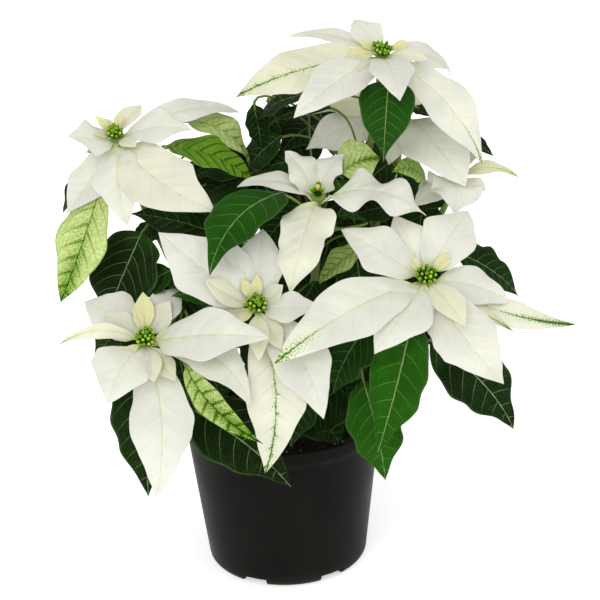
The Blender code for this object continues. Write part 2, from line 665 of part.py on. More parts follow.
def fill_hollows(mesh):
    """Takes out the closed pockets that crossing blades leave inside a solid."""
    work = bmesh.new()
    work.from_mesh(mesh)
    work.faces.ensure_lookup_table()
    unseen = set(work.faces)
    while unseen:
        island = {unseen.pop()}
        edge = list(island)
        while edge:
            face = edge.pop()
            for side in face.edges:
                for other in side.link_faces:
                    if other in unseen:
                        unseen.remove(other)
                        island.add(other)
                        edge.append(other)
        volume = sum(face.calc_center_median().dot(face.normal) * face.calc_area() for face in island)
        if volume < 0:
            bmesh.ops.delete(work, geom=list(island), context="FACES")
            unseen &= set(work.faces)
    work.to_mesh(mesh)
    work.free()


def fuse(name, body, pieces, look):
    """One solid from a body and the closed pieces whose roots are sunk in it."""
    joined = bpy.data.collections.new(name + "_pieces")
    bpy.context.scene.collection.children.link(joined)
    for piece in pieces:
        for collection in piece.users_collection:
            collection.objects.unlink(piece)
        joined.objects.link(piece)
    union = body.modifiers.new("union", "BOOLEAN")
    union.operation = "UNION"
    union.operand_type = "COLLECTION"
    union.collection = joined
    union.solver = "MANIFOLD"
    fused = plain(body)
    for piece in list(joined.objects):
        bpy.data.objects.remove(piece, do_unlink=True)
    bpy.data.collections.remove(joined)
    fill_hollows(fused.data)
    fused.name = name
    fused.data.materials.clear()
    fused.data.materials.append(material(look))
    return fused


def buds_of(name, parts):
    """The cluster of small buds in the middle of a head, on a low dome."""
    head = HEADS[name]
    faces = unit(head["faces"])
    across = unit(np.cross(faces, RING_START))
    over = np.cross(faces, across)
    base = np.array(head["middle"]) - faces * (HUB_DROP - HUB_DEPTH / 2 - GAP)
    rings = YOUNG_RINGS if head["young"] else BUD_RINGS
    wide = rings[-1][1] + BUD_RADIUS
    dome = primitive(
        f"dome_{name}", parts, base + faces * DOME_DEPTH / 2, faces,
        vertices=HUB_SIDES, radius1=wide * DOME_FOOT, radius2=wide * DOME_TOP, depth=DOME_DEPTH,
    )
    buds = []
    for count, radius, lean in rings:
        for index in range(count):
            angle = math.tau * (index + RING_TURN * lean) / count
            out = across * math.cos(angle) + over * math.sin(angle)
            along = faces * math.cos(math.radians(lean)) + out * math.sin(math.radians(lean))
            place = base + faces * (DOME_DEPTH - BUD_SINK) + out * radius + along * BUD_LENGTH / 2
            buds.append(primitive(
                f"bud_{name}_{len(buds)}", parts, place, along,
                vertices=BUD_SIDES, radius1=BUD_RADIUS * BUD_TAPER, radius2=BUD_RADIUS, depth=BUD_LENGTH,
            ))
    return fuse(f"buds_{name}", dome, buds, "buds")


def hub_of(name, parts):
    head = HEADS[name]
    faces = unit(head["faces"])
    place = np.array(head["middle"]) - faces * HUB_DROP
    return primitive(
        f"hub_{name}", parts, place, faces,
        vertices=HUB_SIDES, radius1=HUB_FOOT_RADIUS, radius2=HUB_RADIUS, depth=HUB_DEPTH,
    )


def bracts_of(name):
    """The blades of a head. The inner ones leave the hub above the others."""
    head = HEADS[name]
    faces = unit(head["faces"])
    middle = np.array(head["middle"])
    blades = []
    for kind, tip, width, arch, sway, roll in head["bracts"]:
        lift = ROOT_LIFT if kind == "inner" else -ROOT_LIFT
        out = np.array(tip) - faces * np.dot(tip, faces)
        base = middle - faces * (HUB_DROP - lift) + ROOT_OUT * unit(out)
        blades.append(make_blade(kind, base, middle + tip, width, arch, sway, roll, faces))
    return blades


def leaves_of(name):
    """The leaves of a branch, as (blade, where its stalk leaves the branch)."""
    leaves = []
    for kind, share, base, tip, width, arch, sway, roll in LEAVES[name]:
        blade = make_blade(kind, base, tip, width, arch, sway, roll, LEAF_FACES)
        leaves.append((blade, branch_points(name, np.array([share]))[0]))
    return leaves


def build_head(name, parts):
    """A head's buds, its bracts fused to their hub, and its branch fused to its leaves."""
    buds_of(name, parts)
    bracts = [blade_object(f"bract_{name}_{i}", blade, parts) for i, blade in enumerate(bracts_of(name))]
    fuse(f"bracts_{name}", hub_of(name, parts), bracts, "bracts")
    branch = tube(f"branch_{name}", branch_path(name), BRANCH_RADIUS, BRANCH_TIP_RADIUS, 1, parts)
    leaves = []
    for i, (blade, start) in enumerate(leaves_of(name)):
        leaves.append(blade_object(f"leaf_{name}_{i}", blade, parts))
        path = stalk_path(blade, start)
        leaves.append(tube(f"stalk_{name}_{i}", path, STALK_RADIUS, STALK_RADIUS, 0, parts))
    fuse(f"leafy_{name}", branch, leaves, "leafy")


def build():
    clear_scene()
    parts = bpy.data.collections.new("poinsettia")
    cutters = bpy.data.collections.new("cutters")
    for collection in (parts, cutters):
        bpy.context.scene.collection.children.link(collection)
    build_pot(parts, cutters)
    build_soil(parts, cutters)
    build_trunk(parts)
    for name in HEADS:
        build_head(name, parts)


if __name__ == "__main__":
    build()
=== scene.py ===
import math

import bpy
import numpy as np
from mathutils import Matrix, Vector


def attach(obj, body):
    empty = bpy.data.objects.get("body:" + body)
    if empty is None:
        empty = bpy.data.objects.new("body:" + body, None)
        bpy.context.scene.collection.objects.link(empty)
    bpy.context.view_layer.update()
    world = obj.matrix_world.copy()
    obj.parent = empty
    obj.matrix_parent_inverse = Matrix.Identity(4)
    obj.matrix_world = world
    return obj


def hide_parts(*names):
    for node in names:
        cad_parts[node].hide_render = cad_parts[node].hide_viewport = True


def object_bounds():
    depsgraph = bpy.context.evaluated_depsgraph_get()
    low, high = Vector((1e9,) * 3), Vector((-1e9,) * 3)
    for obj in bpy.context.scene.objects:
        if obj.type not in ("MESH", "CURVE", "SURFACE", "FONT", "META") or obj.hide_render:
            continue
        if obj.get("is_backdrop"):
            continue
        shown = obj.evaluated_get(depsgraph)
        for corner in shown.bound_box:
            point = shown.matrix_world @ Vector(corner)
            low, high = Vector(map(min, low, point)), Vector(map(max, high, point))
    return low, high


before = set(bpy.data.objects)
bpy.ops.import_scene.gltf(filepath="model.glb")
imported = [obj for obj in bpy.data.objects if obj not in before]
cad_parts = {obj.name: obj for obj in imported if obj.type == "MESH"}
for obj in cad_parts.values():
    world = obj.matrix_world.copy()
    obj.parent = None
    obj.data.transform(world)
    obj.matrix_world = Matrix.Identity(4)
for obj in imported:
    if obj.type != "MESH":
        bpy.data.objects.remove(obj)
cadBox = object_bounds()

# Camera, light and floor

camera = {
    "lookAt": (0.0138, 0.0, 0.1786), "distance": 1.2, "elevation": 21.85, "roll": -2.08, "lens": 113.6,
    "sensor": 36, "reach": 50,
}
studio = {
    "sky": 0.58,
    "key": {"from": (-0.30, -1.00, 0.70), "strength": 1.30, "softness": 45},
    "fill": {"from": (0.9, -0.5, 0.7), "strength": 0.45, "softness": 60},
    "floorSize": 14.0, "floorWhite": 0.92, "floorGlow": 0.50, "floorRoughness": 0.9,
}


def unit(vector):
    vector = np.asarray(vector, float)
    return vector / np.linalg.norm(vector)


def metres(millimetres):
    return np.array(millimetres, float) / 1000


def addObject(name, data, *materials):
    made = bpy.data.objects.new(name, data)
    bpy.context.scene.collection.objects.link(made)
    for item in materials:
        data.materials.append(item)
    return made


def placeCamera():
    tilt = math.radians(camera["elevation"])
    turn = math.radians(camera["roll"])
    ahead = Vector((0, math.cos(tilt), -math.sin(tilt)))
    level = Vector((1, 0, 0))
    over = level.cross(ahead)
    right = level * math.cos(turn) + over * math.sin(turn)
    up = over * math.cos(turn) - level * math.sin(turn)
    data = bpy.data.cameras.new("camera")
    data.lens = camera["lens"]
    data.sensor_width = camera["sensor"]
    data.clip_end = camera["reach"]
    made = addObject("camera", data)
    place = Vector(camera["lookAt"]) - ahead * camera["distance"]
    made.matrix_world = Matrix.Translation(place) @ Matrix((right, up, -ahead)).transposed().to_4x4()
    bpy.context.scene.camera = made


def lightStudio():
    world = bpy.data.worlds.new("studio")
    bpy.context.scene.world = world
    world.use_nodes = True
    sky = world.node_tree.nodes["Background"].inputs
    sky["Color"].default_value = (1, 1, 1, 1)
    sky["Strength"].default_value = studio["sky"]
    for name in ("key", "fill"):
        lamp = studio[name]
        data = bpy.data.lights.new(name, "SUN")
        data.energy = lamp["strength"]
        data.angle = math.radians(lamp["softness"])
        made = addObject(name, data)
        made.rotation_euler = Vector(lamp["from"]).to_track_quat("Z", "Y").to_euler()
    bpy.context.scene.view_settings.view_transform = "Standard"


def newMaterial(name, roughness, specular):
    made = bpy.data.materials.new(name)
    made.use_nodes = True
    shader = made.node_tree.nodes["Principled BSDF"]
    shader.inputs["Roughness"].default_value = roughness
    shader.inputs["Specular IOR Level"].default_value = specular
    return made, made.node_tree, shader


def layFloor():
    bpy.ops.mesh.primitive_plane_add(size=studio["floorSize"])
    floor = bpy.context.object
    floor.name = "floor"
    made, tree, shader = newMaterial("floorWhite", studio["floorRoughness"], 0.0)
    white = studio["floorWhite"]
    shader.inputs["Base Color"].default_value = (white, white, white, 1)
    shader.inputs["Emission Color"].default_value = (1, 1, 1, 1)
    shader.inputs["Emission Strength"].default_value = studio["floorGlow"]
    floor.data.materials.append(made)
    floor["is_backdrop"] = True


placeCamera()
lightStudio()
layFloor()
print("camera, light and floor are set")

# Helpers for nodes and meshes


def addNode(tree, kind, inputs=None, **settings):
    # a node with its settings made and its inputs linked or set
    made = tree.nodes.new(kind)
    for name, value in settings.items():
        setattr(made, name, value)
    for name, value in (inputs or {}).items():
        if isinstance(value, bpy.types.NodeSocket):
            tree.links.new(value, made.inputs[name])
        else:
            made.inputs[name].default_value = value
    return made


def calc(tree, operation, *values):
    return addNode(tree, "ShaderNodeMath", dict(enumerate(values)), operation=operation).outputs[0]


def ramp(tree, value, low, high, lowOut=0.0, highOut=1.0):
    # a soft step of value from low to high
    ends = {"Value": value, "From Min": low, "From Max": high, "To Min": lowOut, "To Max": highOut}
    return addNode(tree, "ShaderNodeMapRange", ends, interpolation_type="SMOOTHSTEP").outputs["Result"]


def mixColour(tree, share, first, second, blend="MIX"):
    first, second = ((*item, 1) if isinstance(item, tuple) else item for item in (first, second))
    ends = {0: share, 6: first, 7: second}
    return addNode(tree, "ShaderNodeMix", ends, data_type="RGBA", blend_type=blend).outputs[2]


def noise(tree, where, scale, detail, roughness=0.5):
    links = {"Vector": where, "Scale": scale, "Detail": detail, "Roughness": roughness}
    return addNode(tree, "ShaderNodeTexNoise", links).outputs["Fac"]


def attribute(tree, name):
    return addNode(tree, "ShaderNodeAttribute", attribute_name=name).outputs["Fac"]


def ownSpace(tree):
    return addNode(tree, "ShaderNodeTexCoord").outputs["Object"]


def stretched(tree, where, along):
    # a space in which a noise is drawn out upwards
    return addNode(tree, "ShaderNodeMapping", {"Vector": where, "Scale": (1.0, 1.0, along)}).outputs[0]


def heightOf(tree, where):
    return addNode(tree, "ShaderNodeSeparateXYZ", {"Vector": where}).outputs["Z"]


def setSurface(tree, shader, colour, relief, strength, distance):
    # the colour and the bump of a material
    tree.links.new(colour, shader.inputs["Base Color"])
    bump = addNode(tree, "ShaderNodeBump", {"Height": relief, "Strength": strength, "Distance": distance})
    tree.links.new(bump.outputs["Normal"], shader.inputs["Normal"])


def newMesh(name, points, faces, edges=()):
    mesh = bpy.data.meshes.new(name)
    mesh.from_pydata(points, edges, faces)
    mesh.shade_smooth()
    return mesh


def setValues(mesh, **layers):
    # numbers or vectors for each point of a mesh
    for name, values in layers.items():
        values = np.asarray(values, np.float32)
        kind, field = ("FLOAT_VECTOR", "vector") if values.ndim == 2 else ("FLOAT", "value")
        mesh.attributes.new(name, kind, "POINT").data.foreach_set(field, values.ravel())


def runNodes(source, tree, inputs, name):
    # runs a Geometry Nodes tree on an object and gives the result as a plain object of its own
    modifier = source.modifiers.new(tree.name, "NODES")
    modifier.node_group = tree
    for item in tree.interface.items_tree:
        if item.item_type == "SOCKET" and item.in_out == "INPUT" and item.name in inputs:
            modifier[item.identifier] = inputs[item.name]
    source.update_tag()
    bpy.context.view_layer.update()
    graph = bpy.context.evaluated_depsgraph_get()
    mesh = bpy.data.meshes.new_from_object(source.evaluated_get(graph))
    bpy.data.objects.remove(source, do_unlink=True)
    mesh.name = name
    return addObject(name, mesh)


def newTree(name, **sockets):
    # an empty Geometry Nodes tree with its named inputs and their types
    tree = bpy.data.node_groups.new(name, "GeometryNodeTree")
    for label, kind in {"Geometry": "Geometry", **sockets}.items():
        tree.interface.new_socket(label, in_out="INPUT", socket_type=f"NodeSocket{kind}")
    tree.interface.new_socket("Geometry", in_out="OUTPUT", socket_type="NodeSocketGeometry")
    return tree, tree.nodes.new("NodeGroupInput").outputs, tree.nodes.new("NodeGroupOutput")


def endTree(tree, given, output, geometry, smooth=True):
    # Realize Instances, shading and the material input, as the last nodes of every tree
    real = addNode(tree, "GeometryNodeRealizeInstances", {"Geometry": geometry})
    shaded = addNode(tree, "GeometryNodeSetShadeSmooth", {0: real.outputs[0], "Shade Smooth": smooth})
    painted = addNode(tree, "GeometryNodeSetMaterial", {0: shaded.outputs[0], "Material": given["Material"]})
    tree.links.new(painted.outputs[0], output.inputs[0])


def named(tree, name, kind="FLOAT"):
    return addNode(tree, "GeometryNodeInputNamedAttribute", {"Name": name}, data_type=kind).outputs[0]


def chance(tree, seed, low=0.0, high=1.0):
    links = {2: low, 3: high, "Seed": seed}
    return addNode(tree, "FunctionNodeRandomValue", links, data_type="FLOAT").outputs[1]


def onPoints(tree, form, points, rotation, scale):
    # the object form on each of the points
    source = addNode(tree, "GeometryNodeObjectInfo", {"Object": form, "As Instance": True})
    links = {"Points": points, "Instance": source.outputs["Geometry"], "Rotation": rotation, "Scale": scale}
    return addNode(tree, "GeometryNodeInstanceOnPoints", links).outputs[0]


def joined(name, *objects):
    # the objects as one, under a new name
    with bpy.context.temp_override(active_object=objects[0], selected_editable_objects=list(objects)):
        bpy.ops.object.join()
    objects[0].name = name
    objects[0].data.name = name
    return objects[0]


def finishPiece(obj, slotName, *nodes):
    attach(obj, "root")
    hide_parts(*nodes)


# Finishes

# What the three kinds of blade look like. The veins are set in shares of the blade's length
bladeLooks = {
    "bract": {
        "dull": (0.79, 0.79, 0.7), "fresh": (0.8, 0.78, 0.4), "root": (0.6, 0.68, 0.22),
        "rib": (0.56, 0.66, 0.24), "vein": (0.66, 0.68, 0.5), "freshVein": (0.66, 0.68, 0.4),
        "back": (0.74, 0.73, 0.66), "wash": (0.62, 0.74, 0.3), "speck": (0.1, 0.24, 0.02),
        "deepSpeck": (0.02, 0.07, 0.01), "margin": (0.78, 0.79, 0.66),
        "lean": 0.6, "bend": 1.4, "veinWidth": 0.09, "veinShow": 0.28, "ribShow": 0.5, "netShow": 0.05,
        "backShow": 0.75, "marginShow": 0.2, "roughness": 0.5, "specular": 0.12, "soft": 0.2,
    },
    "leaf": {
        # dull: a near-black green, partly a dark leaf's own colour and partly painted shade of the plant's
        # inside
        "dull": (0.004, 0.0135, 0.0014), "fresh": (0.013, 0.1, 0.0012), "root": (0.012, 0.05, 0.004),
        "rib": (0.24, 0.34, 0.13), "vein": (0.23, 0.33, 0.14), "freshVein": (0.12, 0.33, 0.025),
        "back": (0.055, 0.1, 0.035), "wash": (0.02, 0.12, 0.002), "speck": (0.12, 0.26, 0.03),
        "deepSpeck": (0.04, 0.12, 0.01), "margin": (0.07, 0.13, 0.035),
        "lean": 0.28, "bend": 1.9, "veinWidth": 0.042, "veinShow": 0.55, "ribShow": 0.85, "netShow": 0.1,
        "backShow": 0.8, "marginShow": 0.6, "roughness": 0.38, "specular": 0.03,
    },
    "mottled": {
        "dull": (0.68, 0.78, 0.34), "fresh": (0.08, 0.27, 0.003), "root": (0.56, 0.64, 0.24),
        "rib": (0.06, 0.15, 0.004), "vein": (0.15, 0.26, 0.02), "freshVein": (0.03, 0.11, 0.001),
        "back": (0.42, 0.48, 0.18), "wash": (0.34, 0.52, 0.06), "speck": (0.11, 0.24, 0.01),
        "deepSpeck": (0.018, 0.07, 0.001), "margin": (0.24, 0.42, 0.04), "patch": (0.38, 0.52, 0.12),
        "lean": 0.5, "bend": 1.4, "veinWidth": 0.07, "veinShow": 0.55, "ribShow": 0.65, "netShow": 0.3,
        "backShow": 0.5, "marginShow": 0.7, "roughness": 0.42, "specular": 0.04, "patchShow": 0.6,
    },
}
veins = {"pairs": 8.0, "stagger": 0.4}

# Noises as (scale, detail, roughness), soft steps as (from, to, result before, result after), strengths
bladeNoises = {
    "blotch": (44.0, 3.0), "patch": (480.0, 5.0, 0.65), "speck": (100.0, 4.0, 0.65), "pore": (1600.0, 2.0),
}
bladeSteps = {
    "thinning": (0.98, 0.35, 0.25, 1.0), "rib": (1.0, 0.35), "net": (0.09, 0.0), "patch": (0.42, 0.56, 0.0),
    "root": (0.26, 0.02, 0.0, 0.9), "margin": (0.90, 1.0), "byVein": (0.30, 0.5), "byRib": (0.008, 0.001),
    "wash": (0.0, 0.8), "mark": (0.0, 0.22), "deep": (0.35, 0.75), "shade": (0.25, 0.75, 0.90, 1.04),
}
bladePaint = {
    "blotchTone": 0.35, "ribHalf": 0.0115, "ribTaper": -0.008, "cells": 62.0, "speckGain": 2.8,
    "speckShift": -1.9, "ribSpecks": 0.7, "washShow": 0.35, "backLoss": -0.6, "veinSink": -0.8,
    "poreRise": 0.5, "netSink": -0.35, "bump": (0.35, 0.0005), "softRadius": (1.0, 0.95, 0.55),
    "softScale": 0.003,
}


def veinOffset(tree, along, away, side, look):
    # 0.5 on a side vein, 0 between two: the veins leave the rib in pairs, a little staggered, and run forward
    lean = calc(tree, "MULTIPLY_ADD", away, look["bend"], look["lean"])
    ahead = calc(tree, "SUBTRACT", along, calc(tree, "MULTIPLY", away, lean))
    stagger = calc(tree, "MULTIPLY", side, veins["stagger"])
    line = calc(tree, "FRACT", calc(tree, "MULTIPLY_ADD", ahead, veins["pairs"], stagger))
    return calc(tree, "ABSOLUTE", calc(tree, "SUBTRACT", line, 0.5))


def bladeMaterial(name):
    look, paint = bladeLooks[name], bladePaint
    made, tree, shader = newMaterial(name, look["roughness"], look["specular"])
    flat = addNode(tree, "ShaderNodeUVMap", uv_map="blade").outputs[0]
    place = addNode(tree, "ShaderNodeSeparateXYZ", {"Vector": flat}).outputs
    along = place["X"]
    across = calc(tree, "SUBTRACT", place["Y"], 0.5)
    away = calc(tree, "ABSOLUTE", across)
    side = calc(tree, "GREATER_THAN", across, 0.0)
    body = ownSpace(tree)
    tone, back, edge, speckle, streak = (
        attribute(tree, item) for item in ("tone", "back", "edge", "speckle", "streak")
    )

    def step(value, item, *results):
        return ramp(tree, value, *bladeSteps[item], *results)

    def lay(share, show, over):
        # the colour so far with another one laid over it
        return mixColour(tree, calc(tree, "MULTIPLY", share, show), colour, over)

    off = veinOffset(tree, along, away, side, look)
    vein = ramp(tree, off, 0.5 - look["veinWidth"], 0.5)
    vein = calc(tree, "MULTIPLY", vein, step(edge, "thinning"))
    ribWidth = calc(tree, "MULTIPLY_ADD", along, paint["ribTaper"], paint["ribHalf"])
    rib = step(calc(tree, "DIVIDE", away, ribWidth), "rib")
    cells = {"Vector": flat, "Scale": paint["cells"]}
    cells = addNode(tree, "ShaderNodeTexVoronoi", cells, feature="DISTANCE_TO_EDGE")
    net = step(cells.outputs["Distance"], "net")
    blotch = noise(tree, body, *bladeNoises["blotch"])

    mood = calc(tree, "MULTIPLY_ADD", calc(tree, "SUBTRACT", blotch, 0.5), paint["blotchTone"], tone)
    colour = mixColour(tree, mood, look["dull"], look["fresh"])
    colour = mixColour(tree, step(along, "root"), colour, look["root"])
    if "patch" in look:
        patch = step(noise(tree, body, *bladeNoises["patch"]), "patch", look["patchShow"])
        colour = lay(patch, calc(tree, "SUBTRACT", 1.0, tone), look["patch"])
        colour = lay(patch, tone, look["deepSpeck"])
    colour = lay(net, look["netShow"], look["vein"])
    colour = lay(step(edge, "margin"), look["marginShow"], look["margin"])
    colour = lay(back, look["backShow"], look["back"])
    colour = lay(vein, look["veinShow"], mixColour(tree, tone, look["vein"], look["freshVein"]))
    colour = lay(rib, look["ribShow"], look["rib"])

    # green specks: along the side veins, close to the rib and in places of their own
    sure = noise(tree, flat, *bladeNoises["speck"])
    sure = calc(tree, "MULTIPLY_ADD", sure, paint["speckGain"], paint["speckShift"])
    sure = calc(tree, "MULTIPLY_ADD", step(off, "byVein"), streak, sure)
    byRib = calc(tree, "MULTIPLY", step(away, "byRib"), speckle)
    sure = calc(tree, "MULTIPLY_ADD", byRib, paint["ribSpecks"], sure)
    sure = calc(tree, "ADD", sure, speckle)
    colour = lay(step(speckle, "wash"), paint["washShow"], look["wash"])
    speck = mixColour(tree, step(sure, "deep"), look["speck"], look["deepSpeck"])
    colour = lay(step(sure, "mark"), calc(tree, "MULTIPLY_ADD", back, paint["backLoss"], 1.0), speck)
    shade = step(blotch, "shade")
    grey = addNode(tree, "ShaderNodeCombineXYZ", {"X": shade, "Y": shade, "Z": shade}).outputs[0]
    colour = mixColour(tree, 1.0, colour, grey, "MULTIPLY")

    pores = calc(tree, "MULTIPLY", noise(tree, body, *bladeNoises["pore"]), paint["poreRise"])
    relief = calc(tree, "MULTIPLY_ADD", vein, paint["veinSink"], pores)
    relief = calc(tree, "MULTIPLY_ADD", net, paint["netSink"], relief)
    setSurface(tree, shader, colour, relief, *paint["bump"])
    if "soft" in look:
        shader.inputs["Subsurface Weight"].default_value = look["soft"]
        shader.inputs["Subsurface Radius"].default_value = paint["softRadius"]
        shader.inputs["Subsurface Scale"].default_value = paint["softScale"]
    return made


# What the other finishes look like. noises: how far each is drawn out upwards, its scale, detail and
# roughness. layers: colours laid over the ground by a noise, the height or a value of the mesh, through a
# soft step, and where it is named times another one
plainLooks = {
    "greenStem": {
        "surface": (0.45, 0.12), "ground": (0.035, 0.075, 0.016), "bump": ("skin", 0.3, 0.0004),
        "noises": {"fleck": (1.0, 240.0, 3.0), "skin": (1.0, 900.0, 2.0)},
        "layers": (
            ("tone", (), (0.30, 0.42, 0.09)),
            ("fleck", (0.45, 0.7, 0.0, 0.25), (0.10, 0.11, 0.030)),
        ),
    },
    "budGreen": {
        # the near-black ground, at the foot of each bud and on the cushion, is painted shade of the gaps
        # between buds
        "surface": (0.42, 0.05), "ground": (0.004, 0.032, 0.0004), "bump": ("fleck", 0.35, 0.0004),
        "noises": {"fleck": (1.0, 700.0, 3.0)},
        "layers": (
            ("high", (0.15, 0.75), (0.090, 0.240, 0.002)),
            ("high", (0.82, 1.0), (0.48, 0.68, 0.08)),
            ("high", (0.3, 0.8), (0.80, 0.62, 0.22), "ripe"),
            ("fleck", (0.5, 0.8, 0.0, 0.35), (0.05, 0.14, 0.01)),
        ),
    },
    "potPlastic": {
        "surface": (0.40, 0.05), "ground": (0.0048, 0.0048, 0.0038), "bump": ("skin", 0.12, 0.0002),
        "noises": {"cloud": (1.0, 26.0, 4.0), "streak": (0.08, 420.0, 3.0), "skin": (1.0, 2200.0, 2.0)},
        "layers": (
            ("cloud", (0.3, 0.7), (0.0068, 0.0067, 0.0054)),
            ("streak", (0.62, 0.78, 0.0, 0.30), (0.022, 0.021, 0.018)),
            ("height", (0.012, 0.0, 0.0, 0.6), (0.050, 0.042, 0.032), "cloud"),
        ),
        "rough": ("cloud", (0.3, 0.7, 0.36, 0.48)),
    },
    # dark peat whose near-black ground also paints the deep shade that the plant casts on the soil
    "darkSoilPaintedShade": {
        "surface": (0.92, 0.15), "ground": (0.006, 0.004, 0.003), "bump": ("crumb", 0.8, 0.001),
        "noises": {"crumb": (1.0, 420.0, 5.0, 0.7)},
        "layers": (("crumb", (0.3, 0.75), (0.060, 0.036, 0.020)),),
    },
    "soilPale": {
        "surface": (0.92, 0.15), "ground": (0.30, 0.27, 0.22), "bump": ("crumb", 0.8, 0.001),
        "noises": {"crumb": (1.0, 420.0, 5.0, 0.7)},
        "layers": (("crumb", (0.3, 0.75), (0.62, 0.60, 0.55)),),
    },
    "bark": {
        "surface": (0.75, 0.2), "ground": (0.060, 0.040, 0.020), "bump": ("grain", 0.7, 0.0008),
        "noises": {"grain": (0.25, 420.0, 5.0, 0.6)},
        "layers": (
            ("grain", (0.3, 0.7), (0.230, 0.180, 0.105)),
            ("height", (0.110, 0.145, 0.0, 0.7), (0.080, 0.120, 0.035)),
        ),
    },
}


def plainMaterial(name):
    look = plainLooks[name]
    made, tree, shader = newMaterial(name, *look["surface"])
    body, found = ownSpace(tree), {}

    def source(item, step=()):
        # a noise, the height or a value of the mesh, made once, through its soft step
        if item not in found and item in look["noises"]:
            length, *settings = look["noises"][item]
            found[item] = noise(tree, stretched(tree, body, length), *settings)
        elif item not in found:
            found[item] = heightOf(tree, body) if item == "height" else attribute(tree, item)
        return ramp(tree, found[item], *step) if step else found[item]

    colour = look["ground"]
    for item, step, over, *times in look["layers"]:
        share = source(item, step)
        for other in times:
            share = calc(tree, "MULTIPLY", share, source(other))
        colour = mixColour(tree, share, colour, over)
    if "rough" in look:
        tree.links.new(source(*look["rough"]), shader.inputs["Roughness"])
    relief, *strength = look["bump"]
    setSurface(tree, shader, colour, source(relief), *strength)
    return made


finishes = {name: bladeMaterial(name) for name in bladeLooks}
finishes.update({name: plainMaterial(name) for name in plainLooks})
print("all finishes are mixed")

# Bracts and leaves

# The shape of each kind of blade. peak: where it is widest; stalk: narrow share at the root; fold: how far
# each half rises, in degrees; ripple, waves: the margin's waves; lobe, lobes: its teeth; relief: how far the
# side veins sink, in millimetres; crinkle: how far the sheet buckles; nick: uneven margin; tone: from dull
# to fresh, unless its mark says otherwise
bladeKinds = {
    "bract": {
        "peak": 0.46, "stalk": 0.08, "fold": 9, "ripple": 0.045, "waves": 2.0, "lobe": 0.05, "lobes": 2.5,
        "finish": "bract", "relief": 0.30, "crinkle": 0.5, "nick": 0.035, "tone": 0.08,
    },
    "crinkled": {
        "peak": 0.43, "stalk": 0.10, "fold": 6, "ripple": 0.13, "waves": 2.5, "lobe": 0.18, "lobes": 1.6,
        "finish": "bract", "relief": 0.45, "crinkle": 1.3, "nick": 0.06, "tone": 0.08,
    },
    "inner": {
        "peak": 0.50, "stalk": 0.10, "fold": 14, "ripple": 0.02, "waves": 1.0, "lobe": 0.0, "lobes": 0,
        "finish": "bract", "relief": 0.18, "crinkle": 0.2, "nick": 0.02, "tone": 0.40,
    },
    "leaf": {
        "peak": 0.38, "stalk": 0.02, "fold": 9, "ripple": 0.03, "waves": 2.5, "lobe": 0.06, "lobes": 3.5,
        "finish": "leaf", "relief": 0.40, "crinkle": 0.5, "nick": 0.03, "tone": 0.12,
    },
    "heart": {
        "peak": 0.27, "stalk": 0.00, "fold": 8, "ripple": 0.02, "waves": 2.0, "lobe": 0.02, "lobes": 2.0,
        "finish": "leaf", "relief": 0.30, "crinkle": 0.4, "nick": 0.02, "tone": 0.12,
    },
    "mottled": {
        "peak": 0.42, "stalk": 0.06, "fold": 12, "ripple": 0.04, "waves": 2.5, "lobe": 0.04, "lobes": 3.0,
        "finish": "mottled", "relief": 0.50, "crinkle": 0.7, "nick": 0.03, "tone": 0.35,
    },
}

# How every blade is bent and thickened, in metres and shares
bladeSizes = {
    "near": 0.33, "far": 0.72, "bowGain": 4 / 3, "droop": 0.10, "step": 0.01,
    "outlinePower": 1.65, "narrowing": 0.45, "narrowingFrom": 0.58, "rootHalf": 0.0010, "tipHalf": 0.00018,
    "nickAlong": 26, "nickApart": 9, "nickWaves": 5, "sidePhase": 1.3, "tipPhase": 7,
    "fullWidth": 0.030, "reliefLimits": (0.4, 1.2), "swell": 0.7, "groove": 0.6, "grooveSharpness": 3,
    "ribSink": 0.0005, "ribSinkHalf": 0.0011, "buckle": 0.006, "buckleSeed": 500, "flatRib": 0.2,
    "middleThick": 0.00042, "marginThick": 0.00016, "ribThick": 0.00055, "ribHalf": 0.0006,
    "petiole": 0.0016, "petioleShare": 0.14, "petioleAbove": 0.35, "thinning": 0.7,
    "row": 0.00135, "rowLimits": (22, 72), "column": 0.00150, "columnLimits": (5, 14), "columnSpread": 1.2,
    "hubDrop": 0.0080, "leafFaces": (0.0, -0.25, 0.97), "sharp": math.radians(60),
}

# Where bracts start: how far above the foot of the buds, and how far out
bractRoots = {"outer": (-0.0010, 0.0022), "inner": (0.0010, 0.0022), "small": (0.0030, 0.0035)}

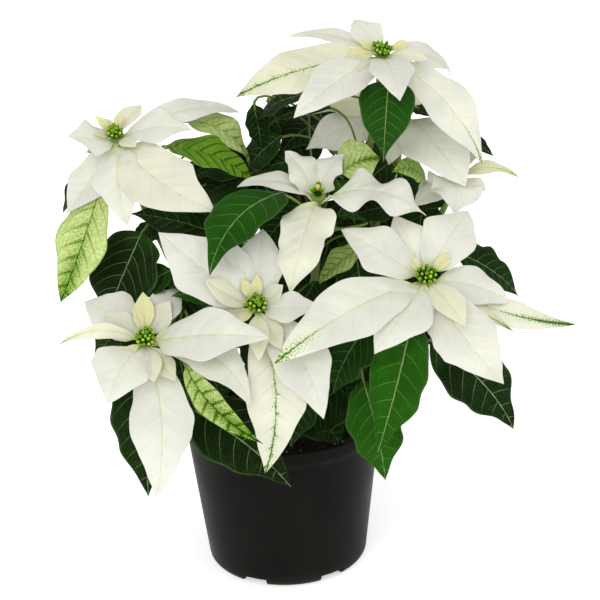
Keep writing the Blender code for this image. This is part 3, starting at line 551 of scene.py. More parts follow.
# Each head, in millimetres: the middle of its buds, the way it faces, and its bracts as (kind, tip from the
# middle, width, arch, sway, roll). Arch and sideways sway are shares of the length and roll is in degrees;
# what isn't given is 0
heads = {
    "a": {
        "middle": (69, 0, 341), "faces": (0.05, -0.50, 0.86),
        "bracts": (
            ("bract", (58, -20, -70), 33, 0.10, -0.06),
            ("bract", (-55, -50, -28), 31, 0.12, -0.03),
            ("bract", (-89, -15, -24), 37, 0.12, -0.03),
            ("bract", (7, -50, -20), 27, 0.14),
            ("bract", (44, 30, -29), 23, 0.20),
            ("bract", (-57, 45, -3), 13, 0.08, 0.05),
            ("bract", (-16, 32, 9), 20, 0.12),
            ("inner", (-16, -22, -9), 10, 0.00),
            ("inner", (26, -12, -6), 13, 0.06),
            ("bract", (30, 35, -47), 26, 0.10),
        ),
    },
    "b": {
        "middle": (-95, -10, 298), "faces": (-0.12, -0.50, 0.86),
        "bracts": (
            ("bract", (61, -40, -41), 42, 0.10, 0.12),
            ("bract", (7, -36, -49), 29, 0.16, 0.01),
            ("bract", (-30, -21, -45), 28, 0.04, -0.04),
            ("bract", (47, -6, 0), 25, 0.14),
            ("bract", (-27, -10, 0), 28, 0.10, -0.12),
            ("bract", (75, 45, -5), 21, 0.14),
            ("inner", (15, 27, 7), 14, 0.10),
            ("inner", (14, -14, -7), 10, 0.05),
            ("inner", (-8, 12, 4), 8, 0.05),
            ("bract", (-16, 46, -30), 26, 0.10),
        ),
    },
    "c": {
        "middle": (-79, -75, 189), "faces": (0.00, -0.68, 0.73),
        "bracts": (
            ("bract", (4, -45, -84), 37, 0.10, -0.07),
            ("bract", (74, -40, 13), 33, 0.08),
            ("bract", (-21, -36, -27), 36, 0.14, 0.06),
            ("bract", (-37, 22, 15), 31, 0.10, 0.04),
            ("bract", (21, 32, 18), 20, 0.20),
            ("bract", (62, -50, -25), 26, 0.05, -0.15),
            ("bract", (-50, -10, 1), 10, 0.14, 0.10, 55),
            ("inner", (6, -29, -17), 14, 0.02),
            ("inner", (18, -24, -19), 14, 0.00),
            ("inner", (-23, 9, 12), 16, 0.00),
            ("inner", (15, 13, 17), 16, 0.00),
        ),
    },
    "d": {
        "middle": (-12, -80, 210), "faces": (0.00, -0.68, 0.73),
        "bracts": (
            ("bract", (2, -50, -87), 35, 0.08, -0.09),
            ("bract", (37, -36, -60), 33, 0.10, -0.07),
            ("bract", (-56, 17, 40), 37, 0.08, -0.04),
            ("bract", (5, 30, 35), 31, 0.10),
            ("bract", (-17, 21, 35), 17, 0.06),
            ("bract", (37, -10, 0), 20, 0.10, 0.04),
            ("inner", (-29, -4, 17), 16, -0.06),
            ("inner", (-34, -3, -7), 16, -0.06),
            ("inner", (16, 4, 9), 13, -0.06),
            ("inner", (1, -30, -24), 14, 0.06),
            ("inner", (14, -24, -20), 14, 0.02),
        ),
    },
    "e": {
        "middle": (90, -60, 217), "faces": (0.08, -0.62, 0.78),
        "bracts": (
            ("bract", (-92, -60, -29), 38, 0.13),
            ("bract", (91, 10, -41), 19, -0.02, 0.05),
            ("bract", (42, -38, -57), 40, 0.10, 0.07),
            ("bract", (-34, -42, -33), 35, 0.18, -0.04),
            ("bract", (-50, 15, 24), 32, 0.12, -0.04),
            ("bract", (28, 35, 26), 34, 0.16),
            ("inner", (20, -31, -22), 20, 0.08),
            ("bract", (51, 10, -25), 26, 0.09, -0.04),
            ("bract", (51, -6, -37), 9, 0.02),
            ("inner", (4, 17, 13), 11, -0.08),
            ("inner", (-9, -19, -10), 9, 0.00),
            ("bract", (-17, 32, 26), 26, 0.10),
        ),
    },
    "f": {
        "middle": (27, -25, 261), "faces": (0.00, -0.30, 0.95), "young": True,
        "bracts": (
            ("crinkled", (-19, -49, -49), 34, 0.30, -0.05),
            ("crinkled", (64, -20, -13), 36, 0.20),
            ("crinkled", (17, 13, 17), 20, 0.12, -0.10),
            ("bract", (-49, 5, 1), 18, 0.20),
            ("crinkled", (-19, 13, 20), 24, 0.14),
        ),
    },
    "g": {
        "middle": (85, 36, 294), "faces": (0.05, -0.40, 0.90), "young": True,
        "bracts": (
            ("bract", (33, -44, -41), 46, 0.18, 0.06),
            ("bract", (-66, 0, -4), 26, 0.16),
            ("crinkled", (-13, -26, -31), 24, 0.14),
            ("bract", (30, 48, -18), 28, 0.16),
            ("crinkled", (-64, -20, -21), 28, 0.10, 0.00, 35),
        ),
    },
    "h": {
        "middle": (26, 82, 188), "faces": (0.00, 0.45, 0.89),
        "bracts": (
            ("bract", (4, 62, -22), 34, 0.14),
            ("bract", (52, 36, -18), 32, 0.14),
            ("bract", (-56, 34, -22), 32, 0.14),
            ("bract", (46, -22, 4), 28, 0.14),
            ("bract", (-40, -26, 2), 28, 0.14),
            ("inner", (18, 22, 0), 14, -0.04),
            ("inner", (-20, 18, 0), 14, -0.04),
            ("inner", (2, -30, 6), 14, 0.00),
        ),
    },
    "i": {
        "middle": (115, 16, 256), "faces": (0.15, -0.45, 0.88), "young": True,
        "bracts": (
            ("crinkled", (-4, -32, -18), 38, 0.30, 0.03),
            ("bract", (-28, -14, -18), 18, 0.10),
            ("bract", (37, -12, -2), 13, 0.24),
            ("bract", (0, 42, 2), 28, 0.16),
        ),
    },
}

# Each leaf: (kind, share of the branch below it, blade's base, blade's tip, width, arch, sway, roll)
leaves = {
    "a": (
        ("heart", 0.90, (71, -25, 326), (66, -48, 284), 34, 0.08),
        ("leaf", 0.82, (22, 20, 307), (-12, 34, 282), 29, 0.14),
        ("leaf", 0.70, (37, 56, 277), (4, 38, 260), 32, 0.22),
        ("leaf", 0.66, (74, 18, 262), (44, -2, 238), 36, 0.10),
    ),
    "b": (
        ("mottled", 0.95, (-103, -24, 270), (-132, -40, 199), 39, 0.08, -0.08),
        ("mottled", 0.93, (-57, 22, 293), (-15, 22, 262), 30, 0.22),
        ("mottled", 0.88, (-67, -6, 285), (-12, -13, 263), 32, 0.12),
        ("leaf", 0.66, (-80, -28, 239), (-106, -46, 184), 51, 0.06, -0.02),
        ("leaf", 0.80, (-110, 30, 262), (-134, 20, 236), 20, 0.10),
        ("leaf", 0.70, (-62, 34, 250), (-62, 78, 222), 36, 0.14),
    ),
    "c": (
        ("leaf", 0.55, (-60, -60, 136), (4, -90, 93), 43, 0.08, 0.00, -25),
        ("leaf", 0.70, (-91, -66, 164), (-82, -96, 93), 34, 0.08, -0.02),
        ("mottled", 0.80, (-56, -82, 175), (-10, -150, 152), 16, 0.03, 0.10, -30),
        ("leaf", 0.86, (-58, -40, 202), (-92, -40, 204), 16, 0.10),
        ("leaf", 0.80, (-93, -55, 189), (-111, -60, 167), 27, 0.10),
        ("leaf", 0.45, (-62, -6, 150), (-96, 14, 106), 40, 0.12),
    ),
    "d": (
        ("leaf", 0.45, (14, -48, 150), (5, -66, 108), 32, 0.10),
        ("leaf", 0.80, (-36, -48, 214), (-74, -45, 209), 24, 0.10),
        ("leaf", 0.70, (24, -24, 200), (8, -50, 178), 34, 0.10, 0.00, -20),
    ),
    "e": (
        ("leaf", 0.84, (80, -80, 198), (57, -98, 118), 37, 0.04, -0.03),
        ("leaf", 0.50, (50, -62, 150), (62, -78, 89), 36, 0.08),
        ("leaf", 0.66, (58, -62, 190), (32, -68, 144), 40, 0.10),
        ("leaf", 0.60, (92, -44, 167), (145, -40, 102), 40, 0.08, 0.00, -45),
        ("leaf", 0.78, (113, -12, 211), (151, -10, 180), 28, 0.08, 0.00, -15),
    ),
    "f": (
        ("leaf", 0.76, (6, -38, 263), (-38, -93, 233), 38, 0.14, 0.06),
        ("leaf", 0.80, (-14, 4, 258), (-46, 6, 244), 44, 0.14),
        ("leaf", 0.62, (-36, -6, 227), (-89, -10, 244), 40, 0.10, -0.08),
        ("mottled", 0.84, (56, -30, 226), (26, -38, 204), 22, 0.08),
        ("mottled", 0.94, (40, -14, 266), (66, -8, 273), 29, 0.12, 0.00, -40),
        ("leaf", 0.72, (48, -14, 226), (52, -28, 180), 32, 0.10),
        ("leaf", 0.76, (8, 30, 256), (-14, 66, 232), 32, 0.12),
    ),
    "g": (
        ("leaf", 0.84, (112, 48, 273), (139, 26, 261), 18, 0.06),
        ("mottled", 0.80, (95, 8, 251), (73, -8, 264), 18, 0.20, 0.00, 35),
        ("leaf", 0.70, (56, 62, 262), (40, 104, 240), 36, 0.14),
        ("leaf", 0.60, (34, 50, 236), (-14, 78, 216), 36, 0.14),
    ),
    "h": (
        ("leaf", 0.80, (56, 90, 160), (94, 106, 122), 40, 0.14),
        ("leaf", 0.70, (10, 96, 146), (-6, 124, 96), 42, 0.12),
        ("leaf", 0.60, (-22, 66, 158), (-66, 84, 122), 40, 0.14),
        ("leaf", 0.50, (44, 66, 128), (70, 96, 92), 36, 0.12),
    ),
    "i": (
        ("leaf", 0.74, (112, 36, 210), (126, 62, 164), 36, 0.12),
        ("leaf", 0.50, (72, 46, 156), (114, 56, 118), 40, 0.12),
    ),
}

# Leaves deep inside the plant, seen only in its gaps, without kind and sway, as they're plain and straight;
# most keep the near-black dull leaf colour, which paints the deep shade of those gaps
moreLeaves = {
    "a": (
        (0.62, (6, 30, 278), (-20, 30, 247), 34, 0.12),
        (0.60, (37, 12, 301), (-2, 12, 290), 16, 0.12),
        (0.85, (105, 20, 290), (88, 20, 297), 13, 0.10),
        (0.66, (-11, 34, 298), (-7, 32, 269), 16, 0.06),
        (0.60, (-2, 56, 292), (7, 54, 268), 30, 0.06),
        (0.60, (61, 52, 267), (72, 48, 250), 30, 0.06),
        (0.85, (86, 32, 293), (100, 30, 287), 10, 0.06),
    ),
    "b": (
        (0.70, (-18, 18, 264), (-49, 10, 259), 40, 0.12),
        (0.60, (-61, -18, 236), (-77, -24, 231), 20, 0.08),
        (0.72, (-31, 34, 262), (-32, 28, 212), 30, 0.06),
        (0.72, (-32, 40, 270), (-19, 36, 260), 16, 0.06),
        (0.72, (-53, 30, 263), (-43, 26, 246), 22, 0.06),
    ),
    "c": (
        (0.85, (-37, -60, 205), (-63, -60, 208), 12, 0.10, 30),
        (0.80, (-56, -50, 195), (-77, -50, 205), 22, 0.06, 30),
        (0.60, (-61, -66, 176), (-55, -78, 141), 26, 0.06),
        (0.70, (-63, -45, 219), (-89, -50, 204), 22, 0.06, 20),
        (0.70, (-84, -52, 184), (-110, -58, 174), 28, 0.06, 20),
        (0.70, (-56, -30, 205), (-61, -40, 163), 26, 0.06),
        (0.85, (-81, -58, 189), (-81, -64, 157), 26, 0.06),
        (0.60, (-44, 10, 240), (-44, 6, 224), 20, 0.06),
        (0.60, (-78, 0, 235), (-81, -4, 220), 16, 0.06),
    ),
    "d": (
        (0.60, (-10, -60, 178), (-19, -70, 161), 22, 0.06),
        (0.40, (37, -26, 130), (11, -44, 102), 42, 0.08),
        (0.60, (10, 30, 212), (6, 16, 160), 40, 0.06),
        (0.60, (-25, 10, 218), (-30, -6, 162), 40, 0.06),
        (0.85, (-13, -62, 210), (-17, -70, 177), 26, 0.06),
        (0.60, (-45, -52, 158), (-36, -58, 136), 34, 0.06),
    ),
    "e": (
        (0.80, (88, -30, 209), (66, -34, 206), 12, 0.08, 30),
        (0.40, (12, -26, 121), (36, -44, 97), 42, 0.08),
        (0.45, (57, -36, 151), (42, -50, 131), 30, 0.06),
        (0.60, (100, -30, 174), (81, -38, 158), 22, 0.06),
        (0.50, (43, 20, 196), (38, 4, 140), 40, 0.06),
        (0.85, (90, -44, 218), (86, -50, 186), 28, 0.06),
        (0.45, (34, -16, 160), (31, -24, 119), 32, 0.06),
    ),
    "f": (
        (0.90, (38, -20, 264), (49, -20, 235), 18, 0.10),
        (0.70, (47, 5, 243), (25, -10, 189), 42, 0.10),
        (0.80, (57, -15, 235), (33, -15, 239), 6, 0.10),
        (0.60, (16, -10, 246), (-9, -16, 216), 36, 0.10),
        (0.75, (30, 10, 261), (7, 4, 251), 30, 0.10),
        (0.70, (10, 46, 252), (4, 36, 198), 40, 0.06),
        (0.60, (63, 50, 237), (63, 40, 187), 38, 0.06),
        (0.66, (12, 62, 267), (25, 56, 245), 40, 0.06),
        (0.80, (29, 62, 288), (37, 58, 259), 26, 0.06),
        (0.60, (-14, 44, 247), (-8, 40, 229), 30, 0.06),
        (0.70, (40, 42, 250), (38, 38, 232), 26, 0.06),
    ),
    "g": (
        (0.60, (17, 22, 264), (-21, 16, 255), 32, 0.08),
        (0.60, (78, 4, 238), (37, -8, 231), 32, 0.08),
    ),
    "i": (
        (0.80, (107, 12, 241), (91, 6, 233), 20, 0.10),
        (0.60, (96, 30, 235), (91, 26, 207), 28, 0.06),
        (0.60, (80, 44, 247), (92, 40, 226), 26, 0.06),
        (0.70, (104, -10, 205), (102, -12, 189), 16, 0.06),
    ),
}

# Small yellow bracts close round the buds: (tip from the middle of the head, width), and the arch of them all
smallBracts = {
    "a": (((17, 4, 1), 7.5), ((-15, 2, 4), 7), ((-21, -4, -4), 12)),
    "b": (((-11, 4, 8), 6), ((3, 8, 9), 5.5), ((-12, -6, -1), 5.5)),
    "c": (((-16, -10, -10), 6.5), ((19, -2, 1), 7.5), ((-6, 11, 15), 6), ((-1, 16, 22), 13)),
    "d": (((-8, 9, 12), 7), ((1, 10, 14), 7), ((-11, -12, -8), 5.5)),
    "e": (((-11, 10, 8), 7), ((18, 10, 10), 8), ((-4, -16, -14), 6.5)),
    "h": (((12, 10, 4), 6.5), ((-12, -8, 6), 6.5)),
}
smallTurns = (0.05,)

# First numbers of small bracts and leaves: the seed of a blade's uneven form comes from its number
smallNumbers = 80
leafNumbers = 50

# Marks of single blades, where they differ from their kind. tone: from dull to fresh; specks: how dense,
# from which share of the length, how far from the rib as a share of the length; streak: specks along veins
bractMarks = {
    "a1": {"specks": (0.55, 0.60, 0.022), "tone": 0.12},
    "a3": {"specks": (0.62, 0.15, 0.030), "tone": 0.45, "streak": 0.20},
    "a9": {"tone": 0.35},
    "a10": {"tone": 0.9},
    "b1": {"specks": (0.25, 0.80, 0.060), "tone": 0.28},
    "c1": {"specks": (0.20, 0.85, 0.040), "tone": 0.05},
    "c7": {"specks": (0.45, 0.40, 0.050), "tone": 0.35},
    "d1": {"specks": (0.55, 0.00, 0.026), "tone": 0.25, "streak": 0.25},
    "e1": {"specks": (0.62, 0.62, 0.060), "tone": 0.1},
    "e2": {"specks": (0.95, 0.42, 0.030), "tone": 0.2},
    "e9": {"specks": (0.75, 0.60, 0.100), "tone": 0.4},
    "f1": {"tone": 0.28},
    "g2": {"tone": 0.5},
    "i3": {"specks": (0.60, 0.50, 0.080), "tone": 0.6},
}
# On plain leaves the tone is partly the leaf's own colour and partly painted shade: low, near-black, for
# leaves deep in the plant
leafMarks = {
    "a1": {"tone": 0.55},
    "a2": {"tone": 0.10},
    "a3": {"tone": 0.05},
    "a4": {"tone": 0.10},
    "b1": {"specks": (0.85, 0.10, 0.13), "tone": 0.0, "streak": 0.32},
    "b2": {"specks": (0.60, 0.30, 0.12), "tone": 0.15, "streak": 0.45},
    "b3": {"specks": (0.80, 0.00, 0.40), "tone": 1.0, "streak": 0.75},
    "b4": {"tone": 0.0},
    "c1": {"tone": 0.0},
    "c2": {"tone": 0.08},
    "c3": {"specks": (0.90, 0.05, 0.09), "tone": 0.10, "streak": 0.48},
    "c7": {"tone": 0.60},
    "e1": {"tone": 0.85},
    "e2": {"tone": 0.80},
    "e3": {"tone": 0.30},
    "e4": {"tone": 0.05},
    "e5": {"tone": 0.10},
    "f1": {"tone": 0.65},
    "f4": {"specks": (0.60, 0.10, 0.30), "tone": 0.30, "streak": 0.40},
    "f5": {"specks": (0.95, 0.00, 0.10), "tone": 0.20, "streak": 0.40},
    "f8": {"tone": 0.35},
    "f10": {"tone": 0.85},
    "g1": {"tone": 0.10},
    "g2": {"specks": (0.60, 0.00, 0.30), "tone": 0.35, "streak": 0.40},
}
noSpecks = (0.0, 1.0, 0.1)
tipSpecks = 0.93
slowWaves = {"count": 7, "pace": (0.6, 1.9), "gain": 1.2}


def headFrame(name):
    # the middle of a head and the way it faces
    return metres(heads[name]["middle"]), unit(heads[name]["faces"])


def bezier(points, share):
    # points on the Bezier curve through four control points
    share = np.asarray(share, float)[..., None]
    rest = 1 - share
    a, b, c, d = (np.asarray(p, float) for p in points)
    return rest**3 * a + 3 * rest**2 * share * b + 3 * rest * share**2 * c + share**3 * d


def makeBlade(kind, base, tip, width, turns, face, seed, own):
    arch, sway, roll = (*turns, 0, 0)[:3]
    return {
        "kind": kind, "base": base, "tip": tip, "width": metres(width), "arch": arch, "sway": sway,
        "roll": math.radians(roll), "face": unit(face), "seed": seed,
        "marks": {"tone": bladeKinds[kind]["tone"], **own},
    }


def slowNoise(seed, x, y, waves=slowWaves["count"]):
    # a sum of a few long waves of random heading, about -1 to 1
    random = np.random.default_rng(seed)
    total = 0.0
    for index in range(waves):
        heading, phase = random.uniform(0, math.tau, 2)
        pace = random.uniform(*slowWaves["pace"])
        total = total + np.sin(pace * (x * math.cos(heading) + y * math.sin(heading)) + phase)
    return total / waves**0.5 / slowWaves["gain"]


def halfWidth(blade, share, across):
    kind, sizes = bladeKinds[blade["kind"]], bladeSizes
    along = np.clip((share - kind["stalk"]) / (1 - kind["stalk"]), 0, 1)
    peak = kind["peak"]
    outline = (along / peak) ** peak * ((1 - along) / (1 - peak)) ** (1 - peak)
    teeth = 1 + kind["lobe"] * np.sin(math.tau * kind["lobes"] * along)
    slim = np.clip((along - sizes["narrowingFrom"]) / (1 - sizes["narrowingFrom"]), 0, 1)
    outline = outline ** sizes["outlinePower"] * (1 - sizes["narrowing"] * slim)
    uneven = slowNoise(
        blade["seed"], share * sizes["nickAlong"], np.sign(across) * sizes["nickApart"], sizes["nickWaves"],
    )
    least = np.where(share < 0.5, sizes["rootHalf"], sizes["tipHalf"])
    return np.maximum(0.5 * outline * teeth * (1 + kind["nick"] * uneven) * blade["width"], least)


def bladeSheet(blade, share, across):
    # the middle sheet of a blade: points, half widths and distance from the rib in blade lengths
    kind, sizes = bladeKinds[blade["kind"]], bladeSizes
    chord = blade["tip"] - blade["base"]
    length = np.linalg.norm(chord)
    side = unit(np.cross(chord, blade["face"]))
    lift = np.cross(side, chord / length)
    bow = (lift * blade["arch"] + side * blade["sway"]) * length * sizes["bowGain"]
    near, far = blade["base"] + sizes["near"] * chord + bow, blade["base"] + sizes["far"] * chord + bow
    control = (blade["base"], near, far, blade["tip"])
    middle = bezier(control, share)
    ahead = bezier(control, share + sizes["step"]) - bezier(control, share - sizes["step"])
    ahead /= np.linalg.norm(ahead, axis=-1, keepdims=True)
    up = np.cross(side, ahead)
    wide = side * math.cos(blade["roll"]) + up * math.sin(blade["roll"])
    up = np.cross(wide, ahead)
    half = halfWidth(blade, share, across)
    fold = math.radians(kind["fold"])
    out = (across * half)[..., None] * wide * math.cos(fold)
    rise = np.abs(across) * half * math.sin(fold) - sizes["droop"] * across**2 * half
    phase = sizes["tipPhase"] * abs(blade["tip"][0]) / length
    wave = np.sin(math.tau * (kind["waves"] * share + phase) + sizes["sidePhase"] * np.sign(across))
    body = np.sin(math.pi * np.clip(share, 0, 1)) ** 0.5
    rise = rise + kind["ripple"] * blade["width"] * across**2 * wave * body

    # side veins sunk into the sheet, the sheet between them a little swollen, and slow buckles
    look = bladeLooks[kind["finish"]]
    away = np.abs(across) * half / length
    line = veins["pairs"] * (share - away * (look["lean"] + look["bend"] * away))
    line = line + veins["stagger"] * (across > 0)
    groove = (0.5 + 0.5 * np.cos(math.tau * (line - 0.5))) ** sizes["grooveSharpness"]
    swell = 0.5 - 0.5 * np.cos(math.tau * (line - 0.5))
    depth = kind["relief"] * 0.001 * body * (1 - across**4)
    depth = depth * np.clip(blade["width"] / sizes["fullWidth"], *sizes["reliefLimits"])
    rise = rise + depth * (sizes["swell"] * swell - sizes["groove"] * groove)
    distance = across * half
    rise = rise - sizes["ribSink"] * np.exp(-((distance / sizes["ribSinkHalf"]) ** 2)) * (1 - share) * body
    size = sizes["buckle"]
    slow = slowNoise(blade["seed"] + sizes["buckleSeed"], share * length / size, distance / size)
    free = np.clip(np.abs(across) * 2, sizes["flatRib"], 1)
    rise = rise + kind["crinkle"] * 0.001 * body * slow * free
    return middle + out + rise[..., None] * up, half, away * np.sign(across)


def bladeParts(blade):
    # a thin closed blade as points, faces and the values that its finish reads
    sizes = bladeSizes
    length = np.linalg.norm(blade["tip"] - blade["base"])
    rows = int(np.clip(round(length / sizes["row"]), *sizes["rowLimits"]))
    columns = 2 * int(np.clip(round(blade["width"] / sizes["column"] / 2), *sizes["columnLimits"]))
    spread = np.linspace(-1, 1, columns + 1)
    spread = np.sign(spread) * np.abs(spread) ** sizes["columnSpread"]
    share, across = np.meshgrid(np.linspace(0, 1, rows + 1), spread, indexing="ij")
    sheet, half, away = bladeSheet(blade, share, across)
    normal = np.cross(np.gradient(sheet, axis=1), np.gradient(sheet, axis=0))
    normal /= np.linalg.norm(normal, axis=-1, keepdims=True)
    thick = sizes["marginThick"] + (sizes["middleThick"] - sizes["marginThick"]) * (1 - across**2)
    neck = np.clip(1 - share / sizes["petioleShare"], 0, 1) ** sizes["thinning"]
    petiole = sizes["petiole"] * neck * np.sqrt(np.clip(1 - across**2, 0, 1))
    rib = sizes["ribThick"] * np.exp(-((across * half / sizes["ribHalf"]) ** 2))
    rib = rib * (1 - share) ** sizes["thinning"]
    top = sheet + normal * (thick / 2 + sizes["petioleAbove"] * petiole)[..., None]
    under = sheet - normal * (thick / 2 + (1 - sizes["petioleAbove"]) * petiole + rib)[..., None]
    points = np.concatenate([top.reshape(-1, 3), under.reshape(-1, 3)])

    count = share.size
    index = np.arange(count).reshape(share.shape)
    a, b = index[:-1, :-1].ravel(), index[:-1, 1:].ravel()
    c, d = index[1:, 1:].ravel(), index[1:, :-1].ravel()
    rim = np.concatenate([index[0, :-1], index[:-1, -1], index[-1, :0:-1], index[:0:-1, 0]])
    after = np.roll(rim, -1)
    faces = np.concatenate([
        np.stack([a, b, c, d], 1),
        np.stack([d, c, b, a], 1) + count,
        np.stack([after, rim, rim + count, after + count], 1),
    ])

    marks = blade["marks"]
    dense, start, apart = marks.get("specks", noSpecks)
    grown = np.clip((share - start) / max(1 - start, 0.01), 0, 1)
    speckle = dense * grown**0.5 * np.exp(-((away / apart) ** 2))
    speckle = np.where((dense > 0) & (share > tipSpecks), dense, speckle)
    values = {
        "speckle": np.tile(speckle.ravel(), 2),
        "edge": np.tile(np.abs(across).ravel(), 2),
        "tone": np.full(2 * count, marks["tone"]),
        "back": np.repeat((0.0, 1.0), count),
        "streak": np.full(2 * count, marks.get("streak", 0.0)),
    }
    flat = np.tile(np.stack([share.ravel(), away.ravel() + 0.5], 1), (2, 1))
    return points, faces, flat, values


def bladeObject(name, blades, used):
    # all the blades of a head as one mesh, each with its own finish
    points, faces, flats, slots, values, start = [], [], [], [], {}, 0
    for blade in blades:
        own, face, flat, layers = bladeParts(blade)
        points.append(own)
        faces.append(face + start)
        flats.append(flat)
        slots.append(np.full(len(face), used.index(bladeKinds[blade["kind"]]["finish"])))
        for key, value in layers.items():
            values.setdefault(key, []).append(value)
        start += len(own)
    mesh = newMesh(name, np.concatenate(points), np.concatenate(faces))
    corners = np.empty(len(mesh.loops), np.int32)
    mesh.loops.foreach_get("vertex_index", corners)
    flat = np.concatenate(flats)[corners].astype(np.float32)
    mesh.uv_layers.new(name="blade").data.foreach_set("uv", flat.ravel())
    setValues(mesh, **{key: np.concatenate(value) for key, value in values.items()})
    made = addObject(name, mesh, *(finishes[item] for item in used))
    mesh.polygons.foreach_set("material_index", np.concatenate(slots).astype(np.int32))
    mesh.set_sharp_from_angle(angle=bladeSizes["sharp"])
    return made


def bractAt(name, number, kind, tip, width, turns, root, marks):
    # a bract from its place on the hub to its tip
    middle, faces = headFrame(name)
    tip = metres(tip)
    above, aside = bractRoots[root]
    out = unit(tip - faces * np.dot(tip, faces))
    base = middle - faces * (bladeSizes["hubDrop"] - above) + aside * out
    return makeBlade(kind, base, middle + tip, width, turns, faces, ord(name) * 100 + number, marks)


def bractsOf(name):
    blades = []
    for number, (kind, tip, width, *turns) in enumerate(heads[name]["bracts"], 1):
        root, marks = "inner" if kind == "inner" else "outer", bractMarks.get(f"{name}{number}", {})
        blades.append(bractAt(name, number, kind, tip, width, turns, root, marks))
    for number, (tip, width) in enumerate(smallBracts.get(name, ()), smallNumbers):
        blades.append(bractAt(name, number, "inner", tip, width, smallTurns, "small", {"tone": 1.0}))
    return blades


def leavesOf(name):
    found = []
    hidden = [("leaf", *row[:5], 0, *row[5:]) for row in moreLeaves.get(name, ())]
    for number, (kind, share, base, tip, width, *turns) in enumerate([*leaves[name], *hidden], 1):
        seed, marks = ord(name) * 100 + leafNumbers + number, leafMarks.get(f"{name}{number}", {})
        blade = makeBlade(kind, metres(base), metres(tip), width, turns, bladeSizes["leafFaces"], seed, marks)
        found.append((blade, branchPoints(name, np.array([share]))[0]))
    return found


# Trunk, branches and stalks

trunk = {
    "radius": 0.0055, "top": 0.1440, "taper": 0.80, "rounding": 0.0018, "low": 0.0623, "sides": 40,
    "rows": 90, "edge": 0.0005, "bark": 0.00025,
}
# Bark: ridges as (strength, round the trunk, along it), leaf scars as (height, half width)
barkForm = {
    "even": 0.6, "ridgeGain": 0.4, "ridges": ((0.6, 7, 90), (0.4, 13, -160)),
    "scarGain": 0.9, "scars": ((0.1005, 0.0007), (0.1265, 0.0006)), "from": 0.001,
}
branch = {
    "radius": 0.0024, "tipRadius": 0.0019, "points": 26, "first": 0.1050, "step": 0.0042,
    "order": "ceidbhgfa", "straight": 0.0020, "out": 0.15, "under": 0.30, "gap": 0.0003, "sides": 14,
    "knuckle": 0.0004, "knuckleHalf": 0.0028, "toneGain": 1.1, "toneShift": -0.25, "tonePower": 1.5,
}
stalk = {
    "radius": 0.0010, "points": 14, "share": 0.10, "bow": 0.30, "under": 0.0004,
    "ends": 1.25, "waist": 0.45, "taper": 0.25, "tone": 0.25, "toneGain": 0.6, "toneRise": 0.1,
}
hub = {
    "depth": 0.0050, "radius": 0.0048, "footRadius": 0.0023, "rings": 7, "swell": 0.8, "tone": 0.75,
    "sides": 24,
}
soil = {
    "top": 0.0920, "dome": 0.0030, "radius": 0.0608, "low": 0.0083, "lowRadius": 0.0498, "hole": 0.0297,
    "holeGap": 1.2, "rings": 40, "sides": 96, "rough": 0.0011, "roughSize": 0.004, "roughSeed": 3,
    "grains": 2600, "grainSize": 0.0016, "facingUp": 0.7, "least": 0.35, "crumbSeed": 5,
    "crumbStretch": (0.7, 1.2), "crumbHeight": 0.65, "holeRim": 0.98, "roughFrom": 1.2, "roughTo": 0.99,
    "skin": 0.001,
}
# Crumbs on the soil: (name, finish, share of all, size, seed)
crumbKinds = (("crumbs", "darkSoilPaintedShade", 0.93, 1.0, 3), ("paleCrumbs", "soilPale", 0.07, 0.9, 8))


def trunkRadius(height):
    # the trunk narrows from the soil to its top
    share = (height - soil["top"]) / (trunk["top"] - soil["top"])
    return trunk["radius"] * (1 - (1 - trunk["taper"]) * share)


def branchPoints(name, share):
    # a head's branch, from the trunk's side to just under its hub
    middle, faces = headFrame(name)
    heading = unit((middle[0], middle[1], 0))
    height = branch["first"] + branch["step"] * branch["order"].index(name)
    start = heading * (trunkRadius(height) + branch["gap"] + branch["straight"]) + (0, 0, height)
    end = middle - faces * (bladeSizes["hubDrop"] + hub["depth"] / 2 + branch["gap"] + branch["straight"])
    reach = np.linalg.norm(end - start)
    control = (start, start + heading * branch["out"] * reach, end - faces * branch["under"] * reach, end)
    return bezier(control, share)


def branchPath(name):
    middle, faces = headFrame(name)
    inner = branchPoints(name, np.linspace(0, 1, branch["points"]))
    first = inner[0] - unit((middle[0], middle[1], 0)) * branch["straight"]
    return np.vstack([first, inner, inner[-1] + faces * branch["straight"]])


def stalkPath(blade, start):
    # a leaf stalk from its branch to a little way along under the blade's rib
    tip = bladeSheet(blade, np.array([stalk["share"]]), np.array([0.0]))[0][0]
    bow = stalk["bow"] * np.linalg.norm(blade["base"] - start)
    into = unit(tip - blade["base"])
    control = (start, start + (0, 0, bow), blade["base"] - bow * into, tip - blade["face"] * stalk["under"])
    return bezier(control, np.linspace(0, 1, stalk["points"]))


def stemTree():
    # follows each path with a round stem, as thick as the path says
    tree, given, output = newTree("stemsAlongPaths", Sides="Int", Material="Material")
    width = named(tree, "radius")
    curve = addNode(tree, "GeometryNodeMeshToCurve", {"Mesh": given["Geometry"]})
    thick = addNode(tree, "GeometryNodeSetCurveRadius", {0: curve.outputs[0], "Radius": width})
    ring = addNode(tree, "GeometryNodeCurvePrimitiveCircle", {"Resolution": given["Sides"], "Radius": 1.0})
    links = {"Curve": thick.outputs[0], "Profile Curve": ring.outputs[0], "Scale": width, "Fill Caps": True}
    endTree(tree, given, output, addNode(tree, "GeometryNodeCurveToMesh", links).outputs[0])
    return tree


def pathsObject(name, paths):
    # paths of (points, radii, tones) as the edges that the tree follows
    points, radii, tones = (np.concatenate(column) for column in zip(*paths))
    edges, start = [], 0
    for path, radius, tone in paths:
        edges += [(start + i, start + i + 1) for i in range(len(path) - 1)]
        start += len(path)
    mesh = newMesh(name, points, [], edges)
    setValues(mesh, radius=radii, tone=tones)
    return addObject(name, mesh)


